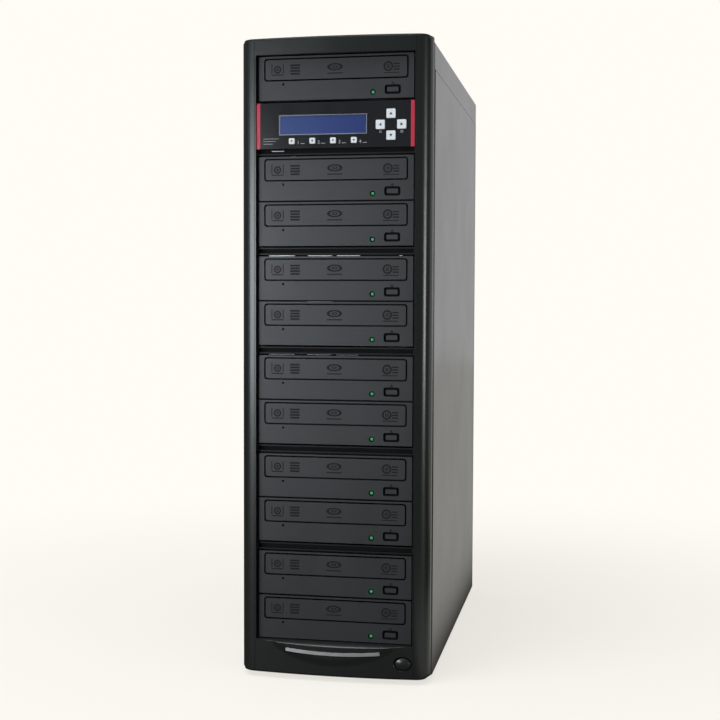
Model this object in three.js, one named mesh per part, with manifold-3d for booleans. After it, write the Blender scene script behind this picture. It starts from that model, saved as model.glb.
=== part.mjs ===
// A disc duplicator tower: a source drive, a control unit and ten writers behind a plastic bezel,
// in a steel case with a power supply, a fan and two side panels that slide off rearwards.
// Millimetres, Z up. The front faces -Y, and the origin is on the floor under the middle of the box.
import * as THREE from 'three';
import { mergeVertices } from 'three/addons/utils/BufferGeometryUtils.js';
import Module from 'manifold-3d';

const wasm = await Module();
wasm.setup();

// Gaps between pieces that rest together, and between pieces that slide
const seatGap = 0.3;
const slipGap = 0.4;

// How far a cutting body reaches past what it cuts
const overrun = 2;

// Steps of the round shapes, and of the grid that all points lie on
const roundSteps = 6;
const pinSteps = 12;
const cornerSteps = 1;
const bowSteps = 6;
const circleSteps = 28;
const fanSteps = 42;
const gridSteps = 1024;
const axisCount = 3;
const labelDigits = 2;

// Stack of units: six groups of two, with a rib of the bezel between groups
const groupCount = 6;
const unitsPerGroup = 2;
const unitPitch = 42.5;
const ribPitch = 8.35;
const controlSlot = 10;

// Outside of the tower
const footHeight = 5;
const headerHeight = 15.7;
const lowerPanelHeight = 32;
const caseStep = 4.7;
const caseProud = 0.6;
const caseRear = 401.3;

const groupPitch = unitsPerGroup * unitPitch + ribPitch;
const stackHeight = groupCount * groupPitch - ribPitch;
const bezelHeight = lowerPanelHeight + stackHeight + headerHeight;
const stackBottom = footHeight + lowerPanelHeight;
const stackTop = stackBottom + stackHeight;
const bezelTop = footHeight + bezelHeight;
const caseTop = bezelTop - caseStep;

// Front bezel
const bezelCentreProud = 8.8;
const bezelBowRadius = 745;
const bezelCornerRadius = 14;
const bezelFaceCorner = 6;
const bezelRear = 12.5;
const bezelWall = 2.4;
const columnWidth = 15.4;
const ledgeDepth = 7;
const ribSetback = 0.6;
const ribGap = 0.9;
const ribChannelHeight = 4.2;
const ribChannelDepth = 3;
const scoopHalfWidth = 74;
const scoopDrop = 4;
const scoopSlopeDrop = 5.2;
const scoopSetback = 1.2;
const bellyProud = 1.5;
const bellyHalfWidth = 62;
const bellyDrop = 23;

// Bright strip set in the belly of the lower panel
const stripHalfWidth = 45;
const stripHeight = 3.2;
const stripDrop = 5.9;
const stripSag = 2.3;
const stripProud = 0.5;
const stripSeat = 1.2;

// Oval power button and the dish it sits in: half widths, and their height as a share of the width
const powerInset = 24;
const powerDrop = 16.8;
const powerRadius = 7.3;
const powerDishRadius = 9.5;
const powerFlatness = 0.76;
const powerDishDepth = 1.4;
const powerLength = 9;
const powerDome = 1.2;
const powerTravel = 2.5;
const powerGuideWall = 1.6;

// Drives
const driveFaceWidth = 148.2;
const driveFaceThick = 4.5;
const driveFaceGap = 0.9;
const driveBodyWidth = 146;
const driveBodyGap = 1.5;
const driveBodyLength = 165;
const doorWidth = 135.2;
const doorHeight = 19.4;
const doorThick = 3.2;
const doorGap = 0.5;
const doorTopMargin = 2.5;
const doorCorner = 2;

// Disc tray
const trayWidth = 129.6;
const trayLength = 152;
const trayThick = 5;
const trayFloorDrop = 1.7;
const traySideGap = 0.8;
const trayTopGap = 0.6;
const trayStopGap = 4;
const traySetDepth = 70;
const discRadius = 60.6;
const discRecess = 1.8;
const smallDiscRadius = 41;
const smallDiscRecess = 1;
const sledWidth = 38;
const sledLength = 74;
const sledCorner = 17;
const fingerWidth = 30;
const fingerLength = 15;
const fingerCorner = 5;

// Eject button
const ejectX = 53.9;
const ejectDrop = 33.4;
const ejectWidth = 12;
const ejectHeight = 5.6;
const ejectThick = 3;
const ejectProud = 0.2;
const ejectCorner = 1;
const ejectTravel = 0.8;
const ejectDishWidth = 15;
const ejectDishHeight = 8.4;
const ejectDishCorner = 2;
const ejectDishDepth = 0.9;

// Control unit
const fasciaOverhang = 0.9;
const fasciaSideGap = 0.4;
const fasciaHeight = 42.4;
const fasciaThick = 3.4;
const fasciaDrop = 2;
const displayX = 11.4;
const displayRise = 21.9;
const displayWidth = 83.7;
const displayHeight = 18.7;
const displayThick = 6;
const displaySetback = 0.3;
const displayRim = 1.5;
const displayGlassDepth = 0.7;
const moduleLength = 104;
const moduleSheet = 1.2;
const moduleSideHeight = 26;
const boardRise = 7;
const boardThick = 1.6;
const boardMargin = 3;
const postRadius = 3;
const coolerSize = 34;
const coolerHeight = 11;
const socketWidth = 8;
const socketDepth = 14;
const socketHeight = 10;
const socketPitch = 11.4;

// Control keys
const keyCentreX = 53;
const keyCentreRise = 20.5;
const keySpread = 10;
const keySize = 8.6;
const smallKeySize = 5.6;
const smallKeyRise = 6.8;
const smallKeyFirstX = -40.9;
const smallKeyPitch = 19.7;
const smallKeyCount = 4;
const keyCorner = 0.9;
const keyProud = 1.1;
const keyInside = 1.4;
const keyTravel = 0.7;

// Steel case
const sheetThick = 1;
const baseSheet = 1.2;
const coverSideHeight = 25;
const rearWallInset = 1.3;
const panelSeam = 0.8;
const panelFront = 16.5;
const panelHem = 2.3;
const panelTravel = 20;
const panelRearFlange = 16;
const screwRadius = 6;
const screwLength = 7;
const lowScrewShare = 0.12;
const highScrewShare = 0.88;
const baseFlangeHeight = 12;
const joggleHeight = 11;
const flangeClearance = 2;
const powerWindowMargin = 6;
const guardRings = 4;
const guardRingWidth = 9;
const guardRingGap = 3;
const guardHubRadius = 8;
const guardSpoke = 5;
const ventRows = 7;
const ventPitch = 10;
const ventHeight = 3.5;
const ventWidth = 46;
const ventDrop = 34;
const ventMiddleGap = 18;

// Drive cage
const cageSheet = 1;
const cageLength = 170;
const cageReturn = 30;
const cageWindowLength = 56;
const cageWindowHeight = 58;
const cageWindowStart = 50;
const cageWindowCorner = 5;
const strapLength = 3;

// Power supply and its switch
const supplyWidth = 150;
const supplyHeight = 86;
const supplyLength = 140;
const inletX = 48;
const inletRise = 62;
const inletWidth = 25;
const inletHeight = 17;
const inletDepth = 15;
const inletCorner = 2;
const pinWidth = 2;
const pinHeight = 4;
const pinSpread = 7;
const pinOffset = 3.5;
const pinSetback = 2;
const pinRoot = 2;
const rockerX = 48;
const rockerRise = 30;
const rockerWidth = 12.6;
const rockerHalfHeight = 8.6;
const rockerProud = 2.6;
const rockerWaist = 1;
const rockerDepth = 4;
const rockerRoot = 4;
const rockerSinkDepth = 1;
const rockerTilt = 10;
const rockerPocketDepth = 8;
const rockerPocketHalfHeight = 9.6;
const pivotRadius = 1.2;
const pivotLength = 1.2;

// Rear fan
const fanSize = 120;
const fanDepth = 25;
const fanRise = 325;
const fanBoreRadius = 57;
const fanStrutWidth = 5;
const fanStrutDepth = 3;
const fanStrutRoot = 2;
const fanSeatRadius = 20;
const fanPinRadius = 2.5;
const fanPinLength = 12;
const rotorRadius = 55.5;
const rotorHubRadius = 20;
const rotorHubLength = 18;
const bladeCount = 7;
const bladeChord = 22;
const bladeThick = 2;
const bladePitch = 38;
const bladeRoot = 3;

// Wiring inside the case
const harnessX = 46;
const harnessDepth = 212;
const trunkRadius = 5;
const branchRadius = 2.6;
const powerPlugWidth = 24;
const dataPlugWidth = 14;
const plugHeight = 9;
const plugLength = 12;
const harnessRise = 20;

// Rubber feet
const footRadius = 14;
const footTaper = 2;
const footInset = 30;
const footFrontInset = 42;

// Finishes of the pieces
const paintedSteel = { color: '#1b1c1e', roughness: 0.45, metalness: 0.3 };
const zincSteel = { color: '#a7abb0', roughness: 0.4, metalness: 0.9 };
const bezelPlastic = { color: '#222325', roughness: 0.4, metalness: 0 };
const brightMetal = { color: '#b9bbbd', roughness: 0.25, metalness: 1 };
const buttonPlastic = { color: '#2a2b2e', roughness: 0.3, metalness: 0 };
const glossFascia = { color: '#15171b', roughness: 0.15, metalness: 0 };
const displayGlass = { color: '#34478c', roughness: 0.2, metalness: 0 };
const keyPlastic = { color: '#eef0f2', roughness: 0.4, metalness: 0 };
const drivePlastic = { color: '#3a3b3d', roughness: 0.5, metalness: 0 };
const supplyPaint = { color: '#2b2c2e', roughness: 0.5, metalness: 0.5 };
const blackPlastic = { color: '#161719', roughness: 0.5, metalness: 0 };
const powerLeads = { color: '#8a7a2c', roughness: 0.5, metalness: 0 };
const dataLeads = { color: '#7c2426', roughness: 0.5, metalness: 0 };
const footRubber = { color: '#161616', roughness: 0.9, metalness: 0 };

// Widths and places worked out from the sizes above
const fasciaWidth = driveFaceWidth + fasciaOverhang * 2;
const halfOpening = fasciaWidth / 2 + fasciaSideGap;
const bezelHalfWidth = halfOpening + columnWidth;
const caseHalfWidth = bezelHalfWidth + caseProud;
const powerX = bezelHalfWidth - powerInset;
const cageInner = driveBodyWidth / 2 + seatGap;
const cageFront = bezelRear + seatGap;
const cageOuter = cageInner + cageSheet;
const frameHalfWidth = caseHalfWidth - sheetThick - seatGap;
const floorTop = footHeight + baseSheet;
const rearInside = caseRear - rearWallInset - sheetThick;
const frameFlangeFront = panelFront + sheetThick + panelTravel + flangeClearance;
const cageReturnOuter = frameHalfWidth - panelHem + sheetThick;
const panelTop = caseTop - coverSideHeight - panelSeam;
const panelBottom = footHeight + seatGap;
const bowCentreY = bezelBowRadius - bezelCentreProud;

// Points lie on a fine grid of binary fractions, so that faces meant to be flush are exactly flush.
function onGrid(value) {
  return Math.round(value * gridSteps) / gridSteps;
}

// Turns a closed three.js geometry into a solid that can be joined and cut.
function solid(geometry) {
  const bare = geometry.index ? geometry.toNonIndexed() : geometry.clone();
  bare.deleteAttribute('normal');
  bare.deleteAttribute('uv');
  const merged = mergeVertices(bare);
  const mesh = new wasm.Mesh({
    numProp: axisCount,
    vertProperties: new Float32Array(merged.attributes.position.array).map(onGrid),
    triVerts: new Uint32Array(merged.index.array),
  });
  return new wasm.Manifold(mesh);
}

// Turns a solid back into a three.js geometry.
function geometryOf(body) {
  const mesh = body.getMesh();
  const geometry = new THREE.BufferGeometry();
  geometry.setAttribute('position', new THREE.BufferAttribute(mesh.vertProperties, axisCount));
  geometry.setIndex(new THREE.BufferAttribute(mesh.triVerts, 1));
  geometry.computeVertexNormals();
  return geometry;
}

// A block between two corners.
function block(x0, x1, y0, y1, z0, z1) {
  const geometry = new THREE.BoxGeometry(x1 - x0, y1 - y0, z1 - z0);
  geometry.translate((x0 + x1) / 2, (y0 + y1) / 2, (z0 + z1) / 2);
  return solid(geometry);
}

// A block that reaches as far to the left as to the right.
function middleBlock(halfWidth, y0, y1, z0, z1) {
  return block(-halfWidth, halfWidth, y0, y1, z0, z1);
}

// A block on one side of the middle, between two distances from it; side is -1 or 1.
function sideBlock(side, near, far, y0, y1, z0, z1) {
  return block(Math.min(side * near, side * far), Math.max(side * near, side * far), y0, y1, z0, z1);
}

// A front-view outline (x, z) carried from one depth to another.
function alongY(outline, y0, y1, steps = cornerSteps) {
  const geometry = new THREE.ExtrudeGeometry(outline, {
    depth: y1 - y0,
    bevelEnabled: false,
    curveSegments: steps,
  });
  geometry.rotateX(Math.PI / 2);
  geometry.translate(0, y1, 0);
  return solid(geometry);
}

// A plan outline (x, y) carried from one height to another.
function alongZ(outline, z0, z1, steps = cornerSteps) {
  const geometry = new THREE.ExtrudeGeometry(outline, {
    depth: z1 - z0,
    bevelEnabled: false,
    curveSegments: steps,
  });
  geometry.translate(0, 0, z0);
  return solid(geometry);
}

// A side-view outline (y, z) carried from left to right.
function alongX(outline, x0, x1, steps = cornerSteps) {
  const geometry = new THREE.ExtrudeGeometry(outline, {
    depth: x1 - x0,
    bevelEnabled: false,
    curveSegments: steps,
  });
  const yAxis = new THREE.Vector3(0, 1, 0);
  const zAxis = new THREE.Vector3(0, 0, 1);
  const xAxis = new THREE.Vector3(1, 0, 0);
  geometry.applyMatrix4(new THREE.Matrix4().makeBasis(yAxis, zAxis, xAxis));
  geometry.translate(x0, 0, 0);
  return solid(geometry);
}

// A round bar along Y.
function barY(x, z, radius, y0, y1, steps = circleSteps) {
  const geometry = new THREE.CylinderGeometry(radius, radius, y1 - y0, steps);
  geometry.translate(x, (y0 + y1) / 2, z);
  return solid(geometry);
}

// An oval bar along Y, flattened in height, whose two ends may differ in half width.
function ovalY(x, z, frontRadius, backRadius, flatness, y0, y1) {
  const geometry = new THREE.CylinderGeometry(backRadius, frontRadius, y1 - y0, circleSteps);
  geometry.scale(1, 1, flatness);
  geometry.translate(x, (y0 + y1) / 2, z);
  return solid(geometry);
}

// A round bar along Z.
function barZ(x, y, radius, z0, z1, steps = circleSteps) {
  const geometry = new THREE.CylinderGeometry(radius, radius, z1 - z0, steps);
  geometry.rotateX(Math.PI / 2);
  geometry.translate(x, y, (z0 + z1) / 2);
  return solid(geometry);
}

// A rectangle with round corners, round a centre.
function roundedRect(x, y, width, height, radius) {
  const right = x + width / 2;
  const left = x - width / 2;
  const top = y + height / 2;
  const bottom = y - height / 2;
  const shape = new THREE.Shape();
  shape.absarc(right - radius, top - radius, radius, 0, Math.PI / 2);
  shape.absarc(left + radius, top - radius, radius, Math.PI / 2, Math.PI);
  shape.absarc(left + radius, bottom + radius, radius, Math.PI, Math.PI * 1.5);
  shape.absarc(right - radius, bottom + radius, radius, Math.PI * 1.5, Math.PI * 2);
  return shape;
}

function outline(points) {
  return new THREE.Shape(points.map(([x, y]) => new THREE.Vector2(x, y)));
}

const parts = [];

// Keeps one named piece, with its own material, at its place in the tower.
function keep(name, body, finish, place = [0, 0, 0]) {
  const material = new THREE.MeshStandardMaterial(finish);
  const geometry = body.isBufferGeometry ? body : geometryOf(body);
  const mesh = new THREE.Mesh(geometry, material);
  mesh.name = name;
  mesh.position.set(...place.map(onGrid));
  parts.push(mesh);
  return mesh;
}

// The bezel seen from above: a bowed front, round corners and straight sides, drawn in by an inset.
function bezelPlan(inset, rear) {
  const cornerX = bezelHalfWidth - bezelCornerRadius;
  const reach = bezelBowRadius - bezelCornerRadius;
  const cornerY = bowCentreY - Math.sqrt(reach * reach - cornerX * cornerX);
  const turn = Math.asin(cornerX / reach);
  const side = bezelHalfWidth - inset;
  const shape = new THREE.Shape();
  shape.moveTo(-side, rear);
  shape.absarc(-cornerX, cornerY, bezelCornerRadius - inset, Math.PI, Math.PI * 1.5 - turn);
  shape.absarc(0, bowCentreY, bezelBowRadius - inset, Math.PI * 1.5 - turn, Math.PI * 1.5 + turn);
  shape.absarc(cornerX, cornerY, bezelCornerRadius - inset, Math.PI * 1.5 + turn, Math.PI * 2);
  shape.lineTo(side, rear);
  shape.closePath();
  return shape;
}

// Depth of the bowed front face at a distance from the middle.
function bowDepth(x) {
  return bowCentreY - Math.sqrt(bezelBowRadius * bezelBowRadius - x * x);
}

// A front-view smile: straight on top, and an arc below that drops by its sag in the middle.
function smile(halfWidth, top, ends, sag) {
  const shape = new THREE.Shape();
  const radius = (halfWidth * halfWidth + sag * sag) / (2 * sag);
  const turn = Math.asin(halfWidth / radius);
  shape.moveTo(halfWidth, top);
  shape.lineTo(-halfWidth, top);
  shape.absarc(0, ends - sag + radius, radius, Math.PI * 1.5 - turn, Math.PI * 1.5 + turn);
  shape.closePath();
  return shape;
}

// The band of the bright strip seen from the front, let out by a clearance.
function stripBand(clearance) {
  const halfWidth = stripHalfWidth + clearance;
  const top = stackBottom - stripDrop + clearance;
  const band = stripHeight + clearance * 2;
  const radius = (halfWidth * halfWidth + stripSag * stripSag) / (2 * stripSag);
  const turn = Math.asin(halfWidth / radius);
  const centre = top - stripSag + radius;
  const shape = new THREE.Shape();
  shape.absarc(0, centre, radius + band, Math.PI * 1.5 - turn, Math.PI * 1.5 + turn);
  shape.absarc(0, centre, radius, Math.PI * 1.5 + turn, Math.PI * 1.5 - turn, true);
  shape.closePath();
  return shape;
}

// Front bezel: columns, header, ribs and the lower panel with its belly, scoop and button hole.
function frontBezel() {
  const front = -bezelCentreProud - bellyProud - overrun;
  const middle = footHeight + bezelHeight / 2;
  const seen = roundedRect(0, middle, bezelHalfWidth * 2, bezelHeight, bezelFaceCorner);
  const bowed = alongZ(bezelPlan(0, bezelRear), footHeight, bezelTop, bowSteps);
  let body = bowed.intersect(alongY(seen, front, bezelRear));

  // Belly of the lower panel, a little in front of the rest
  const bellyEnds = stackBottom - scoopDrop;
  const bellyTop = stackBottom - scoopDrop / 2;
  const bellyOutline = smile(bellyHalfWidth, bellyTop, bellyEnds, bellyDrop - scoopDrop);
  const bellyRange = alongY(bellyOutline, front, 0, bowSteps);
  const bellySkin = alongZ(bezelPlan(-bellyProud, bezelRear), footHeight, stackBottom, bowSteps);
  body = body.add(bellySkin.intersect(bellyRange));

  // Hollow behind the face, all but the tunnel round the units
  const rear = bezelRear + overrun;
  const hollow = alongZ(bezelPlan(bezelWall, rear), footHeight + bezelWall, bezelTop - bezelWall, bowSteps);
  const tunnelTop = stackTop + bezelWall;
  const tunnel = middleBlock(halfOpening + bezelWall, front, rear, stackBottom - ledgeDepth, tunnelTop);
  body = body.subtract(hollow.subtract(tunnel));

  // One tall recess in front of the ribs, and a window for each group of units
  body = body.subtract(middleBlock(halfOpening, front, ribSetback, stackBottom, stackTop));
  for (let group = 0; group < groupCount; group += 1) {
    const bottom = stackBottom + group * groupPitch;
    const top = bottom + groupPitch - ribPitch;
    const reachDown = group > 0 ? ribGap : 0;
    const reachUp = group < groupCount - 1 ? ribGap : 0;
    body = body.subtract(middleBlock(halfOpening, 0, rear, bottom - reachDown, top + reachUp));
    if (group > 0) {
      const ribMiddle = bottom - ribPitch / 2;
      const half = ribChannelHeight / 2;
      const channelBack = ribSetback + ribChannelDepth;
      const channelWidth = halfOpening - bezelWall / 2;
      body = body.subtract(middleBlock(channelWidth, 0, channelBack, ribMiddle - half, ribMiddle + half));
    }
  }

  // Scoop under the lowest unit: a slope that ends in a smile
  const scoopSmile = smile(scoopHalfWidth, stackBottom + overrun, stackBottom, scoopDrop);
  const slope = outline([
    [-scoopSetback, stackBottom],
    [-scoopSetback, stackBottom + overrun],
    [front, stackBottom + overrun],
    [front, stackBottom - scoopSlopeDrop],
  ]);
  const scoopRange = alongY(scoopSmile, front, -scoopSetback, bowSteps);
  const scoop = scoopRange.intersect(alongX(slope, -scoopHalfWidth, scoopHalfWidth));
  body = body.subtract(scoop);

  // Pocket for the bright strip
  const pocketDepth = bezelPlan(stripSeat + seatGap - bellyProud, bezelRear);
  const pocketRange = alongY(stripBand(slipGap), front, 0, bowSteps);
  const pocket = pocketRange.subtract(alongZ(pocketDepth, footHeight, stackBottom, bowSteps));
  body = body.subtract(pocket);

  // Dish, hole and guide of the power button
  const powerZ = stackBottom - powerDrop;
  const face = bowDepth(powerX);
  const guideBack = face + powerLength + powerTravel;
  const holeRadius = powerRadius + slipGap;
  const guideRadius = holeRadius + powerGuideWall;
  const oval = (near, far, y0, y1) => ovalY(powerX, powerZ, near, far, powerFlatness, y0, y1);
  body = body.add(oval(guideRadius, guideRadius, face + bezelWall / 2, guideBack));
  body = body.subtract(oval(powerDishRadius, holeRadius, face, face + powerDishDepth));
  body = body.subtract(oval(powerDishRadius, powerDishRadius, front, face));
  return body.subtract(oval(holeRadius, holeRadius, front, rear));
}

// Bright strip that follows the belly.
function trimStrip() {
  const outer = alongZ(bezelPlan(-bellyProud - stripProud, bezelRear), footHeight, stackBottom, bowSteps);
  const innerPlan = bezelPlan(stripSeat - bellyProud, bezelRear + overrun);
  const inner = alongZ(innerPlan, footHeight - overrun, stackBottom + overrun, bowSteps);
  const front = -bezelCentreProud - bellyProud - stripProud - overrun;
  return outer.subtract(inner).intersect(alongY(stripBand(0), front, 0, bowSteps));
}

// Domed oval power button: a lathed body round its own travel axis, flattened in height.
function powerButton() {
  const shape = [new THREE.Vector2(0, 0), new THREE.Vector2(powerRadius, 0)];
  for (let step = 0; step <= roundSteps / 2; step += 1) {
    const share = step / (roundSteps / 2);
    const radius = powerRadius * Math.cos(share * Math.PI / 2);
    shape.push(new THREE.Vector2(radius, powerLength + powerDome * Math.sin(share * Math.PI / 2)));
  }
  const geometry = new THREE.LatheGeometry(shape, circleSteps);
  geometry.rotateX(Math.PI);
  geometry.scale(1, 1, powerFlatness);
  return solid(geometry);
}

// One optical drive, about the middle of its bay's floor at the front plane.
function driveShell() {
  const faceBottom = driveFaceGap / 2;
  const faceTop = unitPitch - driveFaceGap / 2;
  const bodyBottom = driveBodyGap / 2;
  const bodyTop = unitPitch - driveBodyGap / 2;
  const rear = driveFaceThick + driveBodyLength;
  let body = middleBlock(driveFaceWidth / 2, 0, driveFaceThick, faceBottom, faceTop);
  body = body.add(middleBlock(driveBodyWidth / 2, driveFaceThick / 2, rear, bodyBottom, bodyTop));

  // Door opening and the hollow that the tray runs in
  const slotTop = faceTop - doorTopMargin;
  const slotHeight = doorHeight + doorGap * 2;
  const slotMiddle = slotTop - slotHeight / 2;
  const slot = roundedRect(0, slotMiddle, doorWidth + doorGap * 2, slotHeight, doorCorner + doorGap);
  body = body.subtract(alongY(slot, -overrun, driveFaceThick));
  const hollowBack = doorThick + trayLength + trayStopGap;
  const hollowFloor = slotTop - slotHeight + trayFloorDrop;
  const hollowHalf = trayWidth / 2 + traySideGap;
  body = body.subtract(middleBlock(hollowHalf, 0, hollowBack, hollowFloor, slotTop - trayTopGap));

  // Dish and pocket of the eject button
  const ejectZ = faceTop - ejectDrop;
  const dish = roundedRect(ejectX, ejectZ, ejectDishWidth, ejectDishHeight, ejectDishCorner);
  body = body.subtract(alongY(dish, -overrun, ejectDishDepth));
  const pocketWidth = ejectWidth + slipGap * 2;
  const pocketHeight = ejectHeight + slipGap * 2;
  const pocketBack = ejectThick - ejectProud + ejectTravel + seatGap;
  const pocket = roundedRect(ejectX, ejectZ, pocketWidth, pocketHeight, ejectCorner + slipGap);
  return body.subtract(alongY(pocket, -overrun, pocketBack));
}

// Disc tray with its door, in the same frame as its drive.
function discTray() {
  const slotTop = unitPitch - driveFaceGap / 2 - doorTopMargin;
  const doorMiddle = slotTop - doorGap - doorHeight / 2;
  const floor = slotTop - doorHeight - doorGap * 2 + trayFloorDrop + seatGap;
  const top = floor + trayThick;
  const rear = doorThick + trayLength;
  let body = alongY(roundedRect(0, doorMiddle, doorWidth, doorHeight, doorCorner), 0, doorThick);
  body = body.add(middleBlock(trayWidth / 2, doorThick / 2, rear, floor, top));
  body = body.subtract(barZ(0, traySetDepth, discRadius, top - discRecess, top + overrun));
  const smallFloor = top - discRecess - smallDiscRecess;
  body = body.subtract(barZ(0, traySetDepth, smallDiscRadius, smallFloor, top));

  // Window for the spindle and the laser, and a finger notch at the front of the disc
  const sledMiddle = traySetDepth + (sledLength - sledWidth) / 2;
  const sled = roundedRect(0, sledMiddle, sledWidth, sledLength, sledCorner);
  body = body.subtract(alongZ(sled, floor - overrun, top));
  const notch = roundedRect(0, traySetDepth - discRadius, fingerWidth, fingerLength, fingerCorner);
  return body.subtract(alongZ(notch, top - discRecess - smallDiscRecess, top + overrun));
}

// Cap of the eject button, about its own centre at the front plane of the drive.
function ejectCap() {
  const cap = roundedRect(0, 0, ejectWidth, ejectHeight, ejectCorner);
  return alongY(cap, -ejectProud, ejectThick - ejectProud);
}

// Places of the eight keys on the fascia, in the control unit's frame.
function keyPlaces() {
  const middle = keyCentreRise - fasciaDrop;
  const places = [
    ['key_up', keyCentreX, middle + keySpread, keySize],
    ['key_down', keyCentreX, middle - keySpread, keySize],
    ['key_left', keyCentreX - keySpread, middle, keySize],
    ['key_right', keyCentreX + keySpread, middle, keySize],
  ];
  for (let index = 0; index < smallKeyCount; index += 1) {
    const x = smallKeyFirstX + index * smallKeyPitch;
    places.push([`key_small_${index + 1}`, x, smallKeyRise - fasciaDrop, smallKeySize]);
  }
  return places;
}

// Control unit: the fascia with its pockets, and the board module behind it.
function controlUnit() {
  const bottom = -fasciaDrop;
  const front = -fasciaThick;
  const moduleBottom = driveBodyGap / 2;
  const inner = driveBodyWidth / 2 - moduleSheet;
  let body = middleBlock(fasciaWidth / 2, front, 0, bottom, bottom + fasciaHeight);

  // Folded tray of the module
  const sideTop = moduleBottom + moduleSideHeight;
  const moduleFloor = moduleBottom + moduleSheet;
  const shell = middleBlock(driveBodyWidth / 2, -fasciaThick / 2, moduleLength, moduleBottom, sideTop);
  const inside = middleBlock(inner, 0, moduleLength + overrun, moduleFloor, sideTop + overrun);
  body = body.add(shell.subtract(inside));

  // Pocket for the display and for each key
  const displayZ = displayRise - fasciaDrop;
  const displayBack = front + displaySetback + displayThick + seatGap;
  const windowHalf = displayWidth / 2 + slipGap;
  const windowHigh = displayHeight / 2 + slipGap;
  const plateHalf = windowHalf + boardMargin;
  const plateHigh = windowHigh + boardMargin;
  const plateBack = displayBack + moduleSheet;
  body = body.add(block(-displayX - plateHalf, -displayX + plateHalf, front / 2, plateBack,
    displayZ - plateHigh, displayZ + plateHigh));
  body = body.subtract(block(-displayX - windowHalf, -displayX + windowHalf, front - overrun, displayBack,
    displayZ - windowHigh, displayZ + windowHigh));
  const keyPocketBack = front + keyInside + keyTravel + seatGap;
  for (const [, x, z, size] of keyPlaces()) {
    const pocket = roundedRect(x, z, size + slipGap * 2, size + slipGap * 2, keyCorner + slipGap);
    body = body.subtract(alongY(pocket, front - overrun, keyPocketBack));
  }

  // Board on four posts, with the cooler and a row of sockets at its rear edge
  const boardBottom = moduleBottom + boardRise;
  const boardHalf = inner - boardMargin;
  const boardFront = plateBack + boardMargin;
  const boardRear = moduleLength - boardMargin;
  const boardTop = boardBottom + boardThick / 2;
  body = body.add(middleBlock(boardHalf, boardFront, boardRear, boardBottom, boardBottom + boardThick));
  for (const x of [-boardHalf + postRadius, boardHalf - postRadius]) {
    for (const y of [boardFront + postRadius, boardRear - postRadius]) {
      body = body.add(barZ(x, y, postRadius, moduleFloor - moduleSheet / 2, boardTop, roundSteps));
    }
  }
  const coolerHalf = coolerSize / 2;
  const coolerFront = (boardFront + boardRear) / 2 - boardMargin - coolerHalf;
  const coolerTop = boardTop + coolerHeight;
  body = body.add(middleBlock(coolerHalf, coolerFront, coolerFront + coolerSize, boardTop, coolerTop));
  const socketCount = Math.floor((boardHalf * 2 - socketWidth) / socketPitch);
  const firstSocket = -socketPitch * (socketCount - 1) / 2;
  for (let index = 0; index < socketCount; index += 1) {
    const left = firstSocket + index * socketPitch - socketWidth / 2;
    const socketFront = boardRear - socketDepth;
    const socketTop = boardTop + socketHeight;
    body = body.add(block(left, left + socketWidth, socketFront, boardRear, boardTop, socketTop));
  }
  return body;
}

// Display module: a thin rim round a sunk glass.
function displayModule() {
  const frame = middleBlock(displayWidth / 2, 0, displayThick, -displayHeight / 2, displayHeight / 2);
  const glassHalf = displayWidth / 2 - displayRim;
  const glassHigh = displayHeight / 2 - displayRim;
  return frame.subtract(middleBlock(glassHalf, -overrun, displayGlassDepth, -glassHigh, glassHigh));
}

function keyCap(size) {
  return alongY(roundedRect(0, 0, size, size, keyCorner), -keyProud, keyInside);
}

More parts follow.
